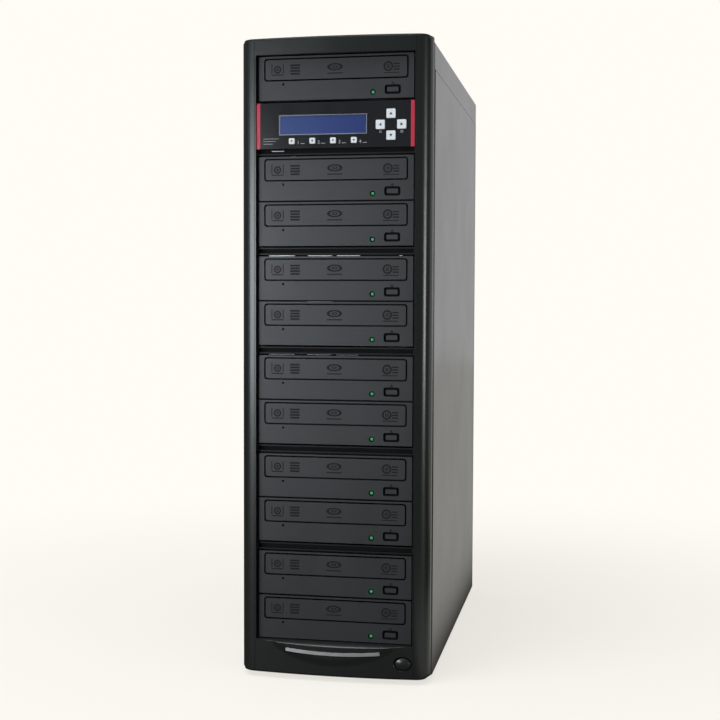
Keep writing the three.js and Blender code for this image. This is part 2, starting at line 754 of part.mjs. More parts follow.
// Painted frame: base pan, rear wall and top cover folded from sheet.
function outerFrame() {
  const front = cageFront + cageSheet + seatGap;
  let body = middleBlock(frameHalfWidth, front, rearInside, footHeight, floorTop);
  const rearFace = rearInside + sheetThick;
  body = body.add(middleBlock(frameHalfWidth, rearInside, rearFace, footHeight, caseTop));
  const coverHalf = caseHalfWidth - seatGap;
  const coverBottom = caseTop - coverSideHeight;
  const cover = middleBlock(coverHalf, front, caseRear, coverBottom, caseTop);
  const coverInner = middleBlock(coverHalf - sheetThick, front - overrun, caseRear + overrun,
    coverBottom - overrun, caseTop - sheetThick);
  body = body.add(cover.subtract(coverInner));

  // Joggles that the side panels tuck over, and flanges up from the base
  const flangeInner = frameHalfWidth - sheetThick;
  const joggleBottom = coverBottom - joggleHeight;
  const joggleTop = coverBottom + sheetThick;
  const flangeTop = footHeight + baseFlangeHeight;
  const strips = [
    [frameHalfWidth, joggleBottom, joggleTop],
    [coverHalf, coverBottom, joggleTop],
    [frameHalfWidth, footHeight, flangeTop],
  ];
  for (const side of [-1, 1]) {
    for (const [far, z0, z1] of strips) {
      body = body.add(sideBlock(side, flangeInner, far, frameFlangeFront, rearFace, z0, z1));
    }
  }

  // Window for the power supply
  const windowHalf = supplyWidth / 2 - powerWindowMargin;
  const supplyBottom = floorTop + seatGap;
  const windowBottom = supplyBottom + powerWindowMargin;
  const windowTop = supplyBottom + supplyHeight - powerWindowMargin;
  const cutFront = rearInside - overrun;
  const cutBack = rearFace + overrun;
  body = body.subtract(middleBlock(windowHalf, cutFront, cutBack, windowBottom, windowTop));

  // Punched guard in front of the fan: rings with two crossing spokes left in
  let rings = null;
  for (let ring = 0; ring < guardRings; ring += 1) {
    const inner = guardHubRadius + ring * (guardRingWidth + guardRingGap);
    const outer = inner + guardRingWidth;
    const disc = barY(0, fanRise, outer, cutFront, cutBack);
    const band = disc.subtract(barY(0, fanRise, inner, cutFront - overrun, cutBack + overrun));
    rings = rings ? rings.add(band) : band;
  }
  const reach = guardHubRadius + guardRings * (guardRingWidth + guardRingGap);
  const spoke = guardSpoke / 2;
  const low = fanRise - reach;
  const high = fanRise + reach;
  const upright = middleBlock(spoke, cutFront - overrun, cutBack + overrun, low, high);
  const level = middleBlock(reach, cutFront - overrun, cutBack + overrun, fanRise - spoke, fanRise + spoke);
  body = body.subtract(rings.subtract(upright).subtract(level));

  // Two columns of vent slots under the top
  for (let row = 0; row < ventRows; row += 1) {
    const z = caseTop - ventDrop - row * ventPitch;
    const near = ventMiddleGap / 2;
    for (const side of [-1, 1]) {
      body = body.subtract(sideBlock(side, near, near + ventWidth, cutFront, cutBack, z - ventHeight, z));
    }
  }
  return body;
}

// Galvanised cage that carries the drives, and the front plate that the bezel sits on.
function driveCage() {
  const bottom = floorTop + seatGap;
  const top = caseTop - sheetThick - seatGap;
  const back = cageFront + cageLength;
  const plateBack = cageFront + cageSheet;
  let body = middleBlock(cageReturnOuter, cageFront, plateBack, bottom, top);
  const cutFront = cageFront - overrun;
  body = body.subtract(middleBlock(cageInner, cutFront, plateBack + overrun, stackBottom, stackTop));
  for (const side of [-1, 1]) {
    let wall = sideBlock(side, cageInner, cageOuter, cageFront, back, bottom, top);
    for (let group = 0; group < groupCount; group += 1) {
      const middle = stackBottom + group * groupPitch + unitPitch * unitsPerGroup / 2;
      const windowMiddle = cageFront + cageWindowStart + cageWindowLength / 2;
      const hole = roundedRect(windowMiddle, middle, cageWindowLength, cageWindowHeight, cageWindowCorner);
      wall = wall.subtract(alongX(hole, side * cageInner - overrun, side * cageInner + overrun));
    }
    const returnInner = cageReturnOuter - cageSheet;
    const returnBack = cageFront + cageReturn;
    body = body.add(wall);
    body = body.add(sideBlock(side, returnInner, cageReturnOuter, cageFront, returnBack, bottom, top));
  }

  // Floor and roof of the cage, and a strap behind each rib
  body = body.add(middleBlock(cageOuter, cageFront, back, bottom, bottom + cageSheet));
  body = body.add(middleBlock(cageOuter, cageFront, back, top - cageSheet, top));
  for (let group = 1; group < groupCount; group += 1) {
    const strapTop = stackBottom + group * groupPitch;
    body = body.add(middleBlock(cageOuter, back - strapLength, back, strapTop - ribPitch, strapTop));
  }
  return body;
}

// Side panel with a folded front edge, a rear flange and two thumb screws; side is -1 or 1.
function sidePanel(side) {
  const outer = caseHalfWidth;
  const skinInner = outer - sheetThick;
  const hemInner = cageReturnOuter + seatGap;
  const hemBack = panelFront + sheetThick;
  const hemBottom = floorTop + seatGap;
  const flangeInner = outer - panelRearFlange;
  const flangeFront = caseRear - sheetThick;
  let body = sideBlock(side, skinInner, outer, panelFront, caseRear, panelBottom, panelTop);
  body = body.add(sideBlock(side, hemInner, outer, panelFront, hemBack, hemBottom, panelTop));
  body = body.add(sideBlock(side, flangeInner, outer, flangeFront, caseRear, panelBottom, panelTop));
  const screwX = side * (outer - panelRearFlange / 2);
  const screwRoot = flangeFront + sheetThick / 2;
  const screwEnd = caseRear + screwLength;
  const panelHeight = panelTop - panelBottom;
  for (const share of [lowScrewShare, highScrewShare]) {
    const z = panelBottom + panelHeight * share;
    body = body.add(barY(screwX, z, screwRadius, screwRoot, screwEnd, circleSteps / 2));
  }
  return body;
}

// Power supply box with the mains inlet, its three pins and the pocket of the switch.
function powerSupply() {
  const rear = rearInside - seatGap;
  const bottom = floorTop + seatGap;
  let body = middleBlock(supplyWidth / 2, rear - supplyLength, rear, bottom, bottom + supplyHeight);
  const inletZ = bottom + inletRise;
  const inlet = roundedRect(inletX, inletZ, inletWidth, inletHeight, inletCorner);
  body = body.subtract(alongY(inlet, rear - inletDepth, rear + overrun));
  const pins = [[0, pinOffset], [-pinSpread, -pinOffset / 2], [pinSpread, -pinOffset / 2]];
  const pinFront = rear - inletDepth - pinRoot;
  for (const [x, z] of pins) {
    const left = inletX + x - pinWidth / 2;
    const low = inletZ + z - pinHeight / 2;
    body = body.add(block(left, left + pinWidth, pinFront, rear - pinSetback, low, low + pinHeight));
  }
  const rockerZ = bottom + rockerRise;
  const pocketHalf = rockerWidth / 2 + slipGap;
  const pocketFront = rear - rockerPocketDepth;
  const pocketLow = rockerZ - rockerPocketHalfHeight;
  const pocketHigh = rockerZ + rockerPocketHalfHeight;
  body = body.subtract(block(rockerX - pocketHalf, rockerX + pocketHalf, pocketFront, rear + overrun,
    pocketLow, pocketHigh));
  const pivotY = rear - rockerSinkDepth;
  const boreHalf = pocketHalf + pivotLength + seatGap - slipGap;
  return body.subtract(crossBar(rockerX, pivotY, rockerZ, pivotRadius + seatGap, boreHalf));
}

// A short bar along X round a centre.
function crossBar(x, y, z, radius, halfLength) {
  const geometry = new THREE.CylinderGeometry(radius, radius, halfLength * 2, pinSteps);
  geometry.rotateZ(Math.PI / 2);
  geometry.translate(x, y, z);
  return solid(geometry);
}

// Rocker of the mains switch, about its pivot.
function rockerSwitch() {
  const profile = outline([
    [rockerProud, -rockerHalfHeight],
    [rockerWaist, 0],
    [rockerProud, rockerHalfHeight],
    [0, rockerHalfHeight],
    [-rockerDepth, rockerRoot],
    [-rockerDepth, -rockerRoot],
    [0, -rockerHalfHeight],
  ]);
  const body = alongX(profile, -rockerWidth / 2, rockerWidth / 2);
  return body.add(crossBar(0, 0, 0, pivotRadius, rockerWidth / 2 + pivotLength));
}

// Fan frame with its struts, motor seat and shaft.
function fanFrame() {
  const half = fanSize / 2;
  const rear = rearInside - seatGap;
  const front = rear - fanDepth;
  let body = middleBlock(half, front, rear, fanRise - half, fanRise + half);
  body = body.subtract(barY(0, fanRise, fanBoreRadius, front - overrun, rear + overrun, fanSteps));
  const strut = fanStrutWidth / 2;
  const reach = fanBoreRadius + fanStrutRoot;
  const strutBack = front + fanStrutDepth;
  body = body.add(middleBlock(reach, front, strutBack, fanRise - strut, fanRise + strut));
  body = body.add(middleBlock(strut, front, strutBack, fanRise - reach, fanRise + reach));
  body = body.add(barY(0, fanRise, fanSeatRadius, front, strutBack));
  return body.add(barY(0, fanRise, fanPinRadius, front, strutBack + fanPinLength, pinSteps));
}

// Fan rotor: a hub with a bore for the shaft, and pitched blades.
function fanRotor() {
  const half = rotorHubLength / 2;
  const bore = fanPinLength + seatGap * 2 - half;
  let body = barY(0, 0, rotorHubRadius, -half, half);
  const span = rotorRadius - rotorHubRadius + bladeRoot;
  for (let index = 0; index < bladeCount; index += 1) {
    const blade = new THREE.BoxGeometry(span, bladeChord, bladeThick);
    blade.rotateX(THREE.MathUtils.degToRad(bladePitch));
    blade.translate(rotorHubRadius - bladeRoot + span / 2, 0, 0);
    blade.rotateY(Math.PI * 2 * index / bladeCount);
    body = body.add(solid(blade));
  }
  body = body.intersect(barY(0, 0, rotorRadius, -half, half, fanSteps));
  return body.subtract(barY(0, 0, fanPinRadius + seatGap, -half - overrun, bore, pinSteps));
}

// A round tube from one point to another.
function tube(from, to, radius) {
  const start = new THREE.Vector3(...from);
  const end = new THREE.Vector3(...to);
  const run = new THREE.Vector3().subVectors(end, start);
  const geometry = new THREE.CylinderGeometry(radius, radius, run.length(), roundSteps);
  const turn = new THREE.Quaternion().setFromUnitVectors(new THREE.Vector3(0, 1, 0), run.normalize());
  geometry.applyQuaternion(turn);
  geometry.translate((start.x + end.x) / 2, (start.y + end.y) / 2, (start.z + end.z) / 2);
  return solid(geometry);
}

// Height above the floor of a unit's bay, counted from the bottom.
function slotBottom(slot) {
  const group = Math.floor(slot / unitsPerGroup);
  return stackBottom + group * groupPitch + (slot % unitsPerGroup) * unitPitch;
}

// Depth of the rear face of the unit in a slot.
function unitRear(slot) {
  return slot === controlSlot ? moduleLength : driveFaceThick + driveBodyLength;
}

// A harness: an upright trunk, with a branch and a plug for each unit.
function harness(x, plugWidth) {
  const plugZ = slot => slotBottom(slot) + unitPitch / 2 - plugHeight;
  const slots = groupCount * unitsPerGroup;
  const trunkTop = plugZ(slots - 1) + trunkRadius;
  const trunkBottom = plugZ(0) - trunkRadius;
  let body = tube([x, harnessDepth, trunkBottom], [x, harnessDepth, trunkTop], trunkRadius);
  for (let slot = 0; slot < slots; slot += 1) {
    const z = plugZ(slot);
    const front = unitRear(slot) + seatGap;
    const back = front + plugLength;
    const left = x - plugWidth / 2;
    const low = z - plugHeight / 2;
    body = body.add(block(left, left + plugWidth, front, back, low, low + plugHeight));
    body = body.add(tube([x, back - plugLength / 2, z], [x, harnessDepth, z], branchRadius));
  }
  return body;
}

// The power harness, with its lead from the power supply.
function powerHarness() {
  const leadFront = harnessDepth - trunkRadius / 2;
  const leadBack = rearInside - seatGap - supplyLength - seatGap;
  const z = floorTop + seatGap + supplyHeight - harnessRise;
  const body = harness(harnessX, powerPlugWidth);
  return body.add(tube([harnessX, leadFront, z], [harnessX, leadBack, z], trunkRadius));
}

// A rubber foot, wider at the case than at the floor.
function foot() {
  const height = footHeight - seatGap;
  const geometry = new THREE.CylinderGeometry(footRadius, footRadius - footTaper, height, circleSteps);
  geometry.rotateX(Math.PI / 2);
  geometry.translate(0, 0, height / 2);
  return solid(geometry);
}

// Case, bezel and what is fixed to them
keep('outer_frame', outerFrame(), paintedSteel);
keep('drive_cage', driveCage(), zincSteel);
keep('side_panel_right', sidePanel(1), paintedSteel);
keep('side_panel_left', sidePanel(-1), paintedSteel);
keep('front_bezel', frontBezel(), bezelPlastic);
keep('trim_strip', trimStrip(), brightMetal);
const powerPlace = [powerX, bowDepth(powerX) + powerLength, stackBottom - powerDrop];
keep('power_button', powerButton(), buttonPlastic, powerPlace);

// Control unit in its bay, with the display and keys
const controlBottom = slotBottom(controlSlot);
keep('control_unit', controlUnit(), glossFascia, [0, 0, controlBottom]);
const displayPlace = [-displayX, -fasciaThick + displaySetback, controlBottom + displayRise - fasciaDrop];
keep('display', displayModule(), displayGlass, displayPlace);
for (const [name, x, z, size] of keyPlaces()) {
  keep(name, keyCap(size), keyPlastic, [x, -fasciaThick, controlBottom + z]);
}

// Eleven drives, each with its tray and eject button
const shell = geometryOf(driveShell());
const tray = geometryOf(discTray());
const cap = geometryOf(ejectCap());
let number = 0;
for (let slot = groupCount * unitsPerGroup - 1; slot >= 0; slot -= 1) {
  if (slot !== controlSlot) {
    number += 1;
    const label = String(number).padStart(labelDigits, '0');
    const z = slotBottom(slot);
    keep(`drive_${label}`, shell.clone(), drivePlastic, [0, 0, z]);
    keep(`tray_${label}`, tray.clone(), drivePlastic, [0, 0, z]);
    const ejectZ = z + unitPitch - driveFaceGap / 2 - ejectDrop;
    keep(`eject_${label}`, cap.clone(), drivePlastic, [ejectX, 0, ejectZ]);
  }
}

// Power supply, fan and wiring
keep('power_supply', powerSupply(), supplyPaint);
const pivotPlace = [rockerX, rearInside - seatGap - rockerSinkDepth, floorTop + seatGap + rockerRise];
const rocker = keep('power_rocker', rockerSwitch(), blackPlastic, pivotPlace);
rocker.rotation.x = THREE.MathUtils.degToRad(rockerTilt);
keep('fan_frame', fanFrame(), blackPlastic);
const rotorY = rearInside - seatGap - fanDepth + fanStrutDepth + seatGap + rotorHubLength / 2;
keep('fan_rotor', fanRotor(), blackPlastic, [0, rotorY, fanRise]);
keep('power_harness', powerHarness(), powerLeads);
keep('data_harness', harness(-harnessX, dataPlugWidth), dataLeads);

// Feet
for (const [name, side, y] of [
  ['foot_front_left', -1, footFrontInset],
  ['foot_front_right', 1, footFrontInset],
  ['foot_rear_left', -1, caseRear - footInset],
  ['foot_rear_right', 1, caseRear - footInset],
]) {
  keep(name, foot(), footRubber, [side * (caseHalfWidth - footInset), y, 0]);
}

// The whole tower, with its middle over the origin
const frontReach = -bezelCentreProud - bellyProud - stripProud;
const rearReach = caseRear + screwLength;
const tower = new THREE.Group();
tower.name = 'disc_duplicator_tower';
tower.position.y = onGrid(-(frontReach + rearReach) / 2);
tower.add(...parts);

export default tower;
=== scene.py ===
import math
import bmesh
import bpy
from mathutils import Matrix, Vector


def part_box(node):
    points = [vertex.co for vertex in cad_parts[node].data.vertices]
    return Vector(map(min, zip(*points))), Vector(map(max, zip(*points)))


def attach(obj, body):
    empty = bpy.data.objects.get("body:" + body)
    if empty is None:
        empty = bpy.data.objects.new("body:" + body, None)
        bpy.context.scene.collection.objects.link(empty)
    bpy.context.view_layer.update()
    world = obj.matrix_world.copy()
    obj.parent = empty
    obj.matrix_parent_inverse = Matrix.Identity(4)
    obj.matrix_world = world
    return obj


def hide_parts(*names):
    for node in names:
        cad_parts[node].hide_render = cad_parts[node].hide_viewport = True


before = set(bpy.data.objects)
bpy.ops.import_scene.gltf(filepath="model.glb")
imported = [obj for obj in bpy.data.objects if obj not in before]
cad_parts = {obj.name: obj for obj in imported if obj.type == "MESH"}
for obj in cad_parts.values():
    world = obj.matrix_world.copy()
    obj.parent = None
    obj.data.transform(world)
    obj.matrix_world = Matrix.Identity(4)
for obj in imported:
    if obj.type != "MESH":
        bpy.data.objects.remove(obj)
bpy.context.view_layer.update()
scene = bpy.context.scene
main = "tower"      # the body that stands still; trays, keys, panels, fan and rocker move against it
mm = 0.001
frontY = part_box("drive_01")[0].y      # plane of the drive faces; depths below are counted from it
over = 3      # how far a cutting shape reaches past what it cuts
faceGap = 0.45      # between a drive's front and the bay round it


# Sizes are millimetres right of the middle, behind the drive faces and above the floor
def spot(node):
    low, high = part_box(node)
    return Vector((low.x, low.y - frontY, low.z)) / mm, Vector((high.x, high.y - frontY, high.z)) / mm


def middleOf(node):
    low, high = spot(node)
    return (low + high) / 2, high - low


def toFrame():
    return Matrix.Translation((0, frontY, 0)) @ Matrix.Scale(mm, 4)


# Materials

def hexColour(text):
    channels = [int(text[i:i + 2], 16) / 255 for i in (1, 3, 5)]
    linear = [c / 12.92 if c <= 0.04045 else ((c + 0.055) / 1.055) ** 2.4 for c in channels]
    return (*linear, 1)


def addNode(tree, kind, settings=None, links=None):
    node = tree.nodes.new(kind)
    for name, value in (settings or {}).items():
        if isinstance(name, int) or name in node.inputs:
            node.inputs[name].default_value = value
        else:
            setattr(node, name, value)
    for name, socket in (links or {}).items():
        tree.links.new(socket, node.inputs[name])
    return node


def startMaterial(name, settings):
    material = bpy.data.materials.new(name)
    material.use_nodes = True
    tree = material.node_tree
    tree.nodes.clear()
    shader = addNode(tree, "ShaderNodeBsdfPrincipled", settings)
    addNode(tree, "ShaderNodeOutputMaterial", {}, {0: shader.outputs[0]})
    place = addNode(tree, "ShaderNodeTexCoord").outputs["Object"]
    return material, tree, shader, place


def noiseAt(tree, place, size, detail=2.0, rough=0.5, stretch=(1, 1, 1)):
    mapping = addNode(tree, "ShaderNodeMapping", {"Scale": stretch}, {"Vector": place})
    settings = {"Scale": 1 / (size * mm), "Detail": detail, "Roughness": rough}
    return addNode(tree, "ShaderNodeTexNoise", settings, {"Vector": mapping.outputs[0]}).outputs[0]


def ranged(tree, value, low, high, fromLow=0.3, fromHigh=0.7, kind="LINEAR"):
    return addNode(tree, "ShaderNodeMapRange", {
        "interpolation_type": kind, 1: fromLow, 2: fromHigh, 3: low, 4: high}, {0: value}).outputs[0]


def tinted(tree, factor, first, second):
    return addNode(tree, "ShaderNodeMix", {"data_type": "RGBA", 6: hexColour(first), 7: hexColour(second)},
                   {0: factor}).outputs[2]


def bumped(tree, shader, height, depth, normal=None):
    links = {"Height": height}
    if normal:
        links["Normal"] = normal
    bump = addNode(tree, "ShaderNodeBump", {"Distance": depth * mm, "Strength": 1.0}, links).outputs[0]
    tree.links.new(bump, shader.inputs["Normal"])
    return bump


# Gives a shader its colour between two tones, its uneven gloss and its relief
def dress(tree, shader, tone, dark, light, wipe, gloss, grain, depth):
    tree.links.new(tinted(tree, tone, dark, light), shader.inputs["Base Color"])
    tree.links.new(ranged(tree, wipe, *gloss), shader.inputs["Roughness"])
    return bumped(tree, shader, grain, depth)


# A moulded surface: the grain that spark erosion leaves in the tool, faint flow clouds, and uneven gloss.
# Clouds and wipe are sizes in mm, rough is the middle and the spread, grain is the size and the depth in mm
def mouldedPlastic(name, dark, light, clouds, rough, grain, wipe, ior=1.53):
    material, tree, shader, place = startMaterial(name, {"IOR": ior})
    dress(tree, shader, noiseAt(tree, place, clouds, 3.0), dark, light,
          noiseAt(tree, place, wipe, 4.0, 0.6, (1, 1, 0.35)), (rough[0] - rough[1], rough[0] + rough[1]),
          noiseAt(tree, place, grain[0], 2.0, 0.6), grain[1])
    return material


# ABS of the bezel: black, fine satin grain, reads soft and slightly glossy at a slant
bezelAbs = mouldedPlastic("black_abs_satin", "#171b1a", "#1b1f1e", clouds=60, rough=(0.25, 0.025),
                          grain=(0.55, 0.008), wipe=45)
# HIPS of the drive fronts: charcoal, more matt than the bezel, so it reads as dark grey
driveHips = mouldedPlastic("charcoal_hips_matt", "#212426", "#25282a", clouds=40, rough=(0.38, 0.03),
                           grain=(0.5, 0.018), wipe=30)
# Print of the door marks: dull ink a little darker than the door
markInk = mouldedPlastic("charcoal_pad_print", "#0b0b0c", "#0f0f10", clouds=6, rough=(0.6, 0.04),
                         grain=(0.4, 0.01), wipe=8, ior=1.35)
# Black ABS of inner mouldings, sockets, plugs and chips, which gets next to no light; the same unlit black is
# painted shade in recesses, gaps, slots, seams and vents
blackAbsAndPaintedShade = mouldedPlastic("black_abs_and_painted_shade", "#050506", "#080809", clouds=25, rough=(0.65, 0.04),
                           grain=(0.6, 0.02), wipe=20, ior=1.25)
# Painted shade for the ribs between the groups of units and for the bezel's top rim: the bezel's black,
# duller and darker as where it sits back from the light
shadedBezelAbs = mouldedPlastic("bezel_black_painted_shade", "#0c0c0d", "#101012", clouds=30, rough=(0.42, 0.04),
                        grain=(0.6, 0.02), wipe=30, ior=1.38)
# Disc tray: black polycarbonate blend with the dull sheen of a part that never shows when shut
trayAbs = mouldedPlastic("black_tray_moulding", "#232426", "#292a2c", clouds=50, rough=(0.46, 0.05),
                         grain=(0.5, 0.015), wipe=60)
# Power button and switch: smoother moulding, finger-polished
buttonAbs = mouldedPlastic("black_abs_polished", "#1b1e1d", "#202423", clouds=8, rough=(0.24, 0.05),
                           grain=(0.5, 0.006), wipe=10)
# Key caps: white ABS, slightly cool, smooth
keyAbs = mouldedPlastic("white_abs_keycap", "#d3d8dd", "#dde1e5", clouds=5, rough=(0.33, 0.04),
                        grain=(0.35, 0.006), wipe=6)
# Foot rubber: nearly black, no shine, faint bloom
footRubber = mouldedPlastic("black_foot_rubber", "#161616", "#1f1f1e", clouds=9, rough=(0.82, 0.06),
                            grain=(0.6, 0.03), wipe=12)


# Powder coat on steel: black semi-gloss, with the orange peel of a cured powder
def powderCoat():
    look = dict(dark="#191a1b", light="#1d1e20", peelSize=1.8, peelDepth=0.003, fineSize=0.6,
                fineDepth=0.0015, cloudSize=90, gloss=(0.22, 0.26))
    material, tree, shader, place = startMaterial("black_powder_coat", {
        "IOR": 1.5, "Coat Weight": 0.25, "Coat Roughness": 0.16, "Coat IOR": 1.5})
    clouds = noiseAt(tree, place, look["cloudSize"], 3.0)
    peel = dress(tree, shader, clouds, look["dark"], look["light"], clouds, look["gloss"],
                 noiseAt(tree, place, look["peelSize"], 1.0), look["peelDepth"])
    bumped(tree, shader, noiseAt(tree, place, look["fineSize"], 1.0), look["fineDepth"], peel)
    return material


# Hot-dip zinc on cage and drive cases: grey, with the flat crystals called spangle
def spangledZinc(name, dark, light, spangle, rough):
    material, tree, shader, place = startMaterial(name, {"Metallic": 1.0})
    cells = addNode(tree, "ShaderNodeTexVoronoi", {"Scale": 1 / (spangle * mm)}, {"Vector": place})
    tone = addNode(tree, "ShaderNodeSeparateColor", {}, {0: cells.outputs["Color"]}).outputs[0]
    dress(tree, shader, tone, dark, light, tone, (rough - 0.07, rough + 0.07, 0.0, 1.0),
          noiseAt(tree, place, 1.2, 3.0, 0.6, (1, 0.08, 1)), 0.004)
    return material


# Bare or plated metal with a brushed lay along one direction; line is the width of a line in mm
def brushedMetal(name, dark, light, line, lay, depth, rough):
    material, tree, shader, place = startMaterial(name, {"Metallic": 1.0})
    lines = noiseAt(tree, place, line, 3.0, 0.6, lay)
    dress(tree, shader, lines, dark, light, noiseAt(tree, place, 14, 3.0), (rough - 0.04, rough + 0.05),
          lines, depth)
    return material


coatedSteel = powderCoat()
cageZinc = spangledZinc("zinc_spangle_sheet", "#8d9297", "#a9adb1", 9, 0.38)
driveZinc = spangledZinc("zinc_drive_case", "#9a9da0", "#adb0b3", 5, 0.34)
# Satin chromed strip: pale and even, so that it reads as the one bright line of the front
stripMetal = brushedMetal("satin_chromed_strip", "#b4b5b4", "#c6c7c6", 0.5, (0.05, 1, 1), 0.002, 0.45)
# Silvered rim of the display: greyer than the strip
rimMetal = brushedMetal("silvered_display_rim", "#80858c", "#979ca3", 0.4, (0.08, 1, 1), 0.001, 0.36)
# Stainless springs: slivers that catch the light in dark channels
contactSpring = brushedMetal("stainless_contact_spring", "#bcc4cc", "#d4dae0", 0.4, (0.08, 1, 1), 0.002, 0.4)
# Nickel plate of the screws: warm grey with a bright edge
screwNickel = brushedMetal("nickel_plated_screw", "#9c9c9a", "#b8b7b3", 0.3, (1, 1, 1), 0.002, 0.3)
print("materials ready")


# Modelling helpers; everything is built in millimetres and moved into the frame at the end

def addBlock(bm, low, high):
    middle = [(a + b) / 2 for a, b in zip(low, high)]
    size = [b - a for a, b in zip(low, high)]
    bmesh.ops.create_cube(bm, size=1, matrix=Matrix.Translation(middle) @ Matrix.Diagonal((*size, 1)))


# A rod, cone or disc with its middle at a point, along an axis
turns = {"x": Matrix.Rotation(math.pi / 2, 4, "Y"), "y": Matrix.Rotation(math.pi / 2, 4, "X"), "z": Matrix()}


def addRod(bm, centre, radius, length, axis="y", sides=32, farRadius=None):
    bmesh.ops.create_cone(bm, cap_ends=True, segments=sides, radius1=radius,
                          radius2=radius if farRadius is None else farRadius, depth=length,
                          matrix=Matrix.Translation(centre) @ turns[axis])


# A block, whose edges along one axis can be rounded, such as a door seen from the front
def block(low, high, radius=0, axis="y", steps=6):
    bm = bmesh.new()
    addBlock(bm, low, high)
    if radius:
        run = "xyz".index(axis)
        along = [e for e in bm.edges if abs(e.verts[0].co[run] - e.verts[1].co[run]) > 1e-6]
        bmesh.ops.bevel(bm, geom=along, offset=radius, segments=steps, profile=0.5, affect="EDGES",
                        material=-1)
    return bm


def rod(centre, radius, length, axis="y", sides=48, farRadius=None):
    bm = bmesh.new()
    addRod(bm, centre, radius, length, axis, sides, farRadius)
    return bm


# A block with its middle at (x, z) seen from the front, from one depth to another
def plate(x, z, wide, high, near, far, radius=0, steps=6):
    return block((x - wide / 2, near, z - high / 2), (x + wide / 2, far, z + high / 2), radius, "y", steps)


# A closed outline in a plane: (u, v) runs a line there, (u, v, degrees, steps) swings an arc round that
# point. The outline is then carried from one depth to another.
planes = {
    "xz": Matrix(((1, 0, 0, 0), (0, 0, 1, 0), (0, 1, 0, 0), (0, 0, 0, 1))),
    "xy": Matrix(),
    "yz": Matrix(((0, 0, 1, 0), (1, 0, 0, 0), (0, 1, 0, 0), (0, 0, 0, 1))),
}


def lastPoint(swept):
    return [g for g in swept["geom_last"] if isinstance(g, bmesh.types.BMVert)][0]


def outline(plane, start, moves, near, far):
    pen = bmesh.new()
    tip = pen.verts.new((start[0], start[1], near))
    for u, v, *arc in moves:
        if arc:
            tip = lastPoint(bmesh.ops.spin(pen, geom=[tip], cent=(u, v, near), axis=(0, 0, 1),
                                           angle=math.radians(arc[0]), steps=arc[1]))
        else:
            tip = bmesh.ops.extrude_vert_indiv(pen, verts=[tip])["verts"][0]
            tip.co = (u, v, near)
    bmesh.ops.remove_doubles(pen, verts=pen.verts[:], dist=1e-4)
    ends = [v for v in pen.verts if len(v.link_edges) == 1]
    if ends:
        pen.edges.new(ends)
    face = bmesh.ops.contextual_create(pen, geom=pen.edges[:])["faces"]
    lifted = bmesh.ops.extrude_face_region(pen, geom=face, use_keep_orig=True)["geom"]
    top = [g for g in lifted if isinstance(g, bmesh.types.BMVert)]
    bmesh.ops.translate(pen, verts=top, vec=(0, 0, far - near))
    pen.transform(planes[plane])
    pen.normal_update()
    bmesh.ops.recalc_face_normals(pen, faces=pen.faces[:])
    return pen


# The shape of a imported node, welded and with its flat faces made whole
def nodeShape(node):
    bm = bmesh.new()
    bm.from_mesh(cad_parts[node].data)
    bm.transform(toFrame().inverted())
    bmesh.ops.remove_doubles(bm, verts=bm.verts[:], dist=0.002)
    bmesh.ops.dissolve_limit(bm, angle_limit=math.radians(0.6), verts=bm.verts[:], edges=bm.edges[:])
    return bm


def asObject(bm, name):
    mesh = bpy.data.meshes.new(name)
    bm.to_mesh(mesh)
    bm.free()
    thing = bpy.data.objects.new(name, mesh)
    scene.collection.objects.link(thing)
    return thing


def dropThing(thing):
    bpy.data.meshes.remove(thing.data)


# Takes an object's shape and drops the object
def shapeOf(thing):
    bm = bmesh.new()
    bm.from_mesh(thing.data)
    dropThing(thing)
    return bm


# Puts a shape into another one as it is
def addShape(bm, shape, matrix=Matrix()):
    shape.transform(matrix)
    holder = bpy.data.meshes.new("holder")
    shape.to_mesh(holder)
    shape.free()
    bm.from_mesh(holder)
    bpy.data.meshes.remove(holder)


# Fixes an object's modifiers into its mesh
def settle(thing):
    final = bpy.data.meshes.new_from_object(thing.evaluated_get(bpy.context.evaluated_depsgraph_get()))
    old = thing.data
    thing.modifiers.clear()
    thing.data = final
    bpy.data.meshes.remove(old)


# Cuts a shape with others, or joins it with them
def combine(shape, others, operation="DIFFERENCE"):
    thing = asObject(shape, "shape")
    for other in others:
        tool = asObject(other, "tool")
        step = thing.modifiers.new("combine", "BOOLEAN")
        step.operation = operation
        step.solver = "EXACT"
        step.object = tool
        settle(thing)
        dropThing(tool)
    return shapeOf(thing)


def ring(centre, outer, inner, length, axis="y", sides=48):
    return combine(rod(centre, outer, length, axis, sides), [rod(centre, inner, 3 * length, axis, sides)])


# Merges points closer than a few thousandths of a millimetre, which cuts and narrow bevels leave
def tidyShape(bm, least=0.004):
    bmesh.ops.remove_doubles(bm, verts=bm.verts[:], dist=least)
    bmesh.ops.dissolve_degenerate(bm, edges=bm.edges[:], dist=least)


def rounded(shape, width, steps=2, angle=35):
    tidyShape(shape)
    thing = asObject(shape, "shape")
    bevel = thing.modifiers.new("edges", "BEVEL")
    bevel.width = width
    bevel.segments = steps
    bevel.limit_method = "ANGLE"
    bevel.angle_limit = math.radians(angle)
    bevel.use_clamp_overlap = True
    bevel.miter_outer = "MITER_ARC"
    settle(thing)
    shape = shapeOf(thing)
    tidyShape(shape)
    return shape


def smoothShade(thing, angle):
    thing.data.shade_smooth()
    thing.data.set_sharp_from_angle(angle=math.radians(angle))
    even = thing.modifiers.new("flats", "WEIGHTED_NORMAL")
    even.keep_sharp = True
    even.weight = 100
    settle(thing)


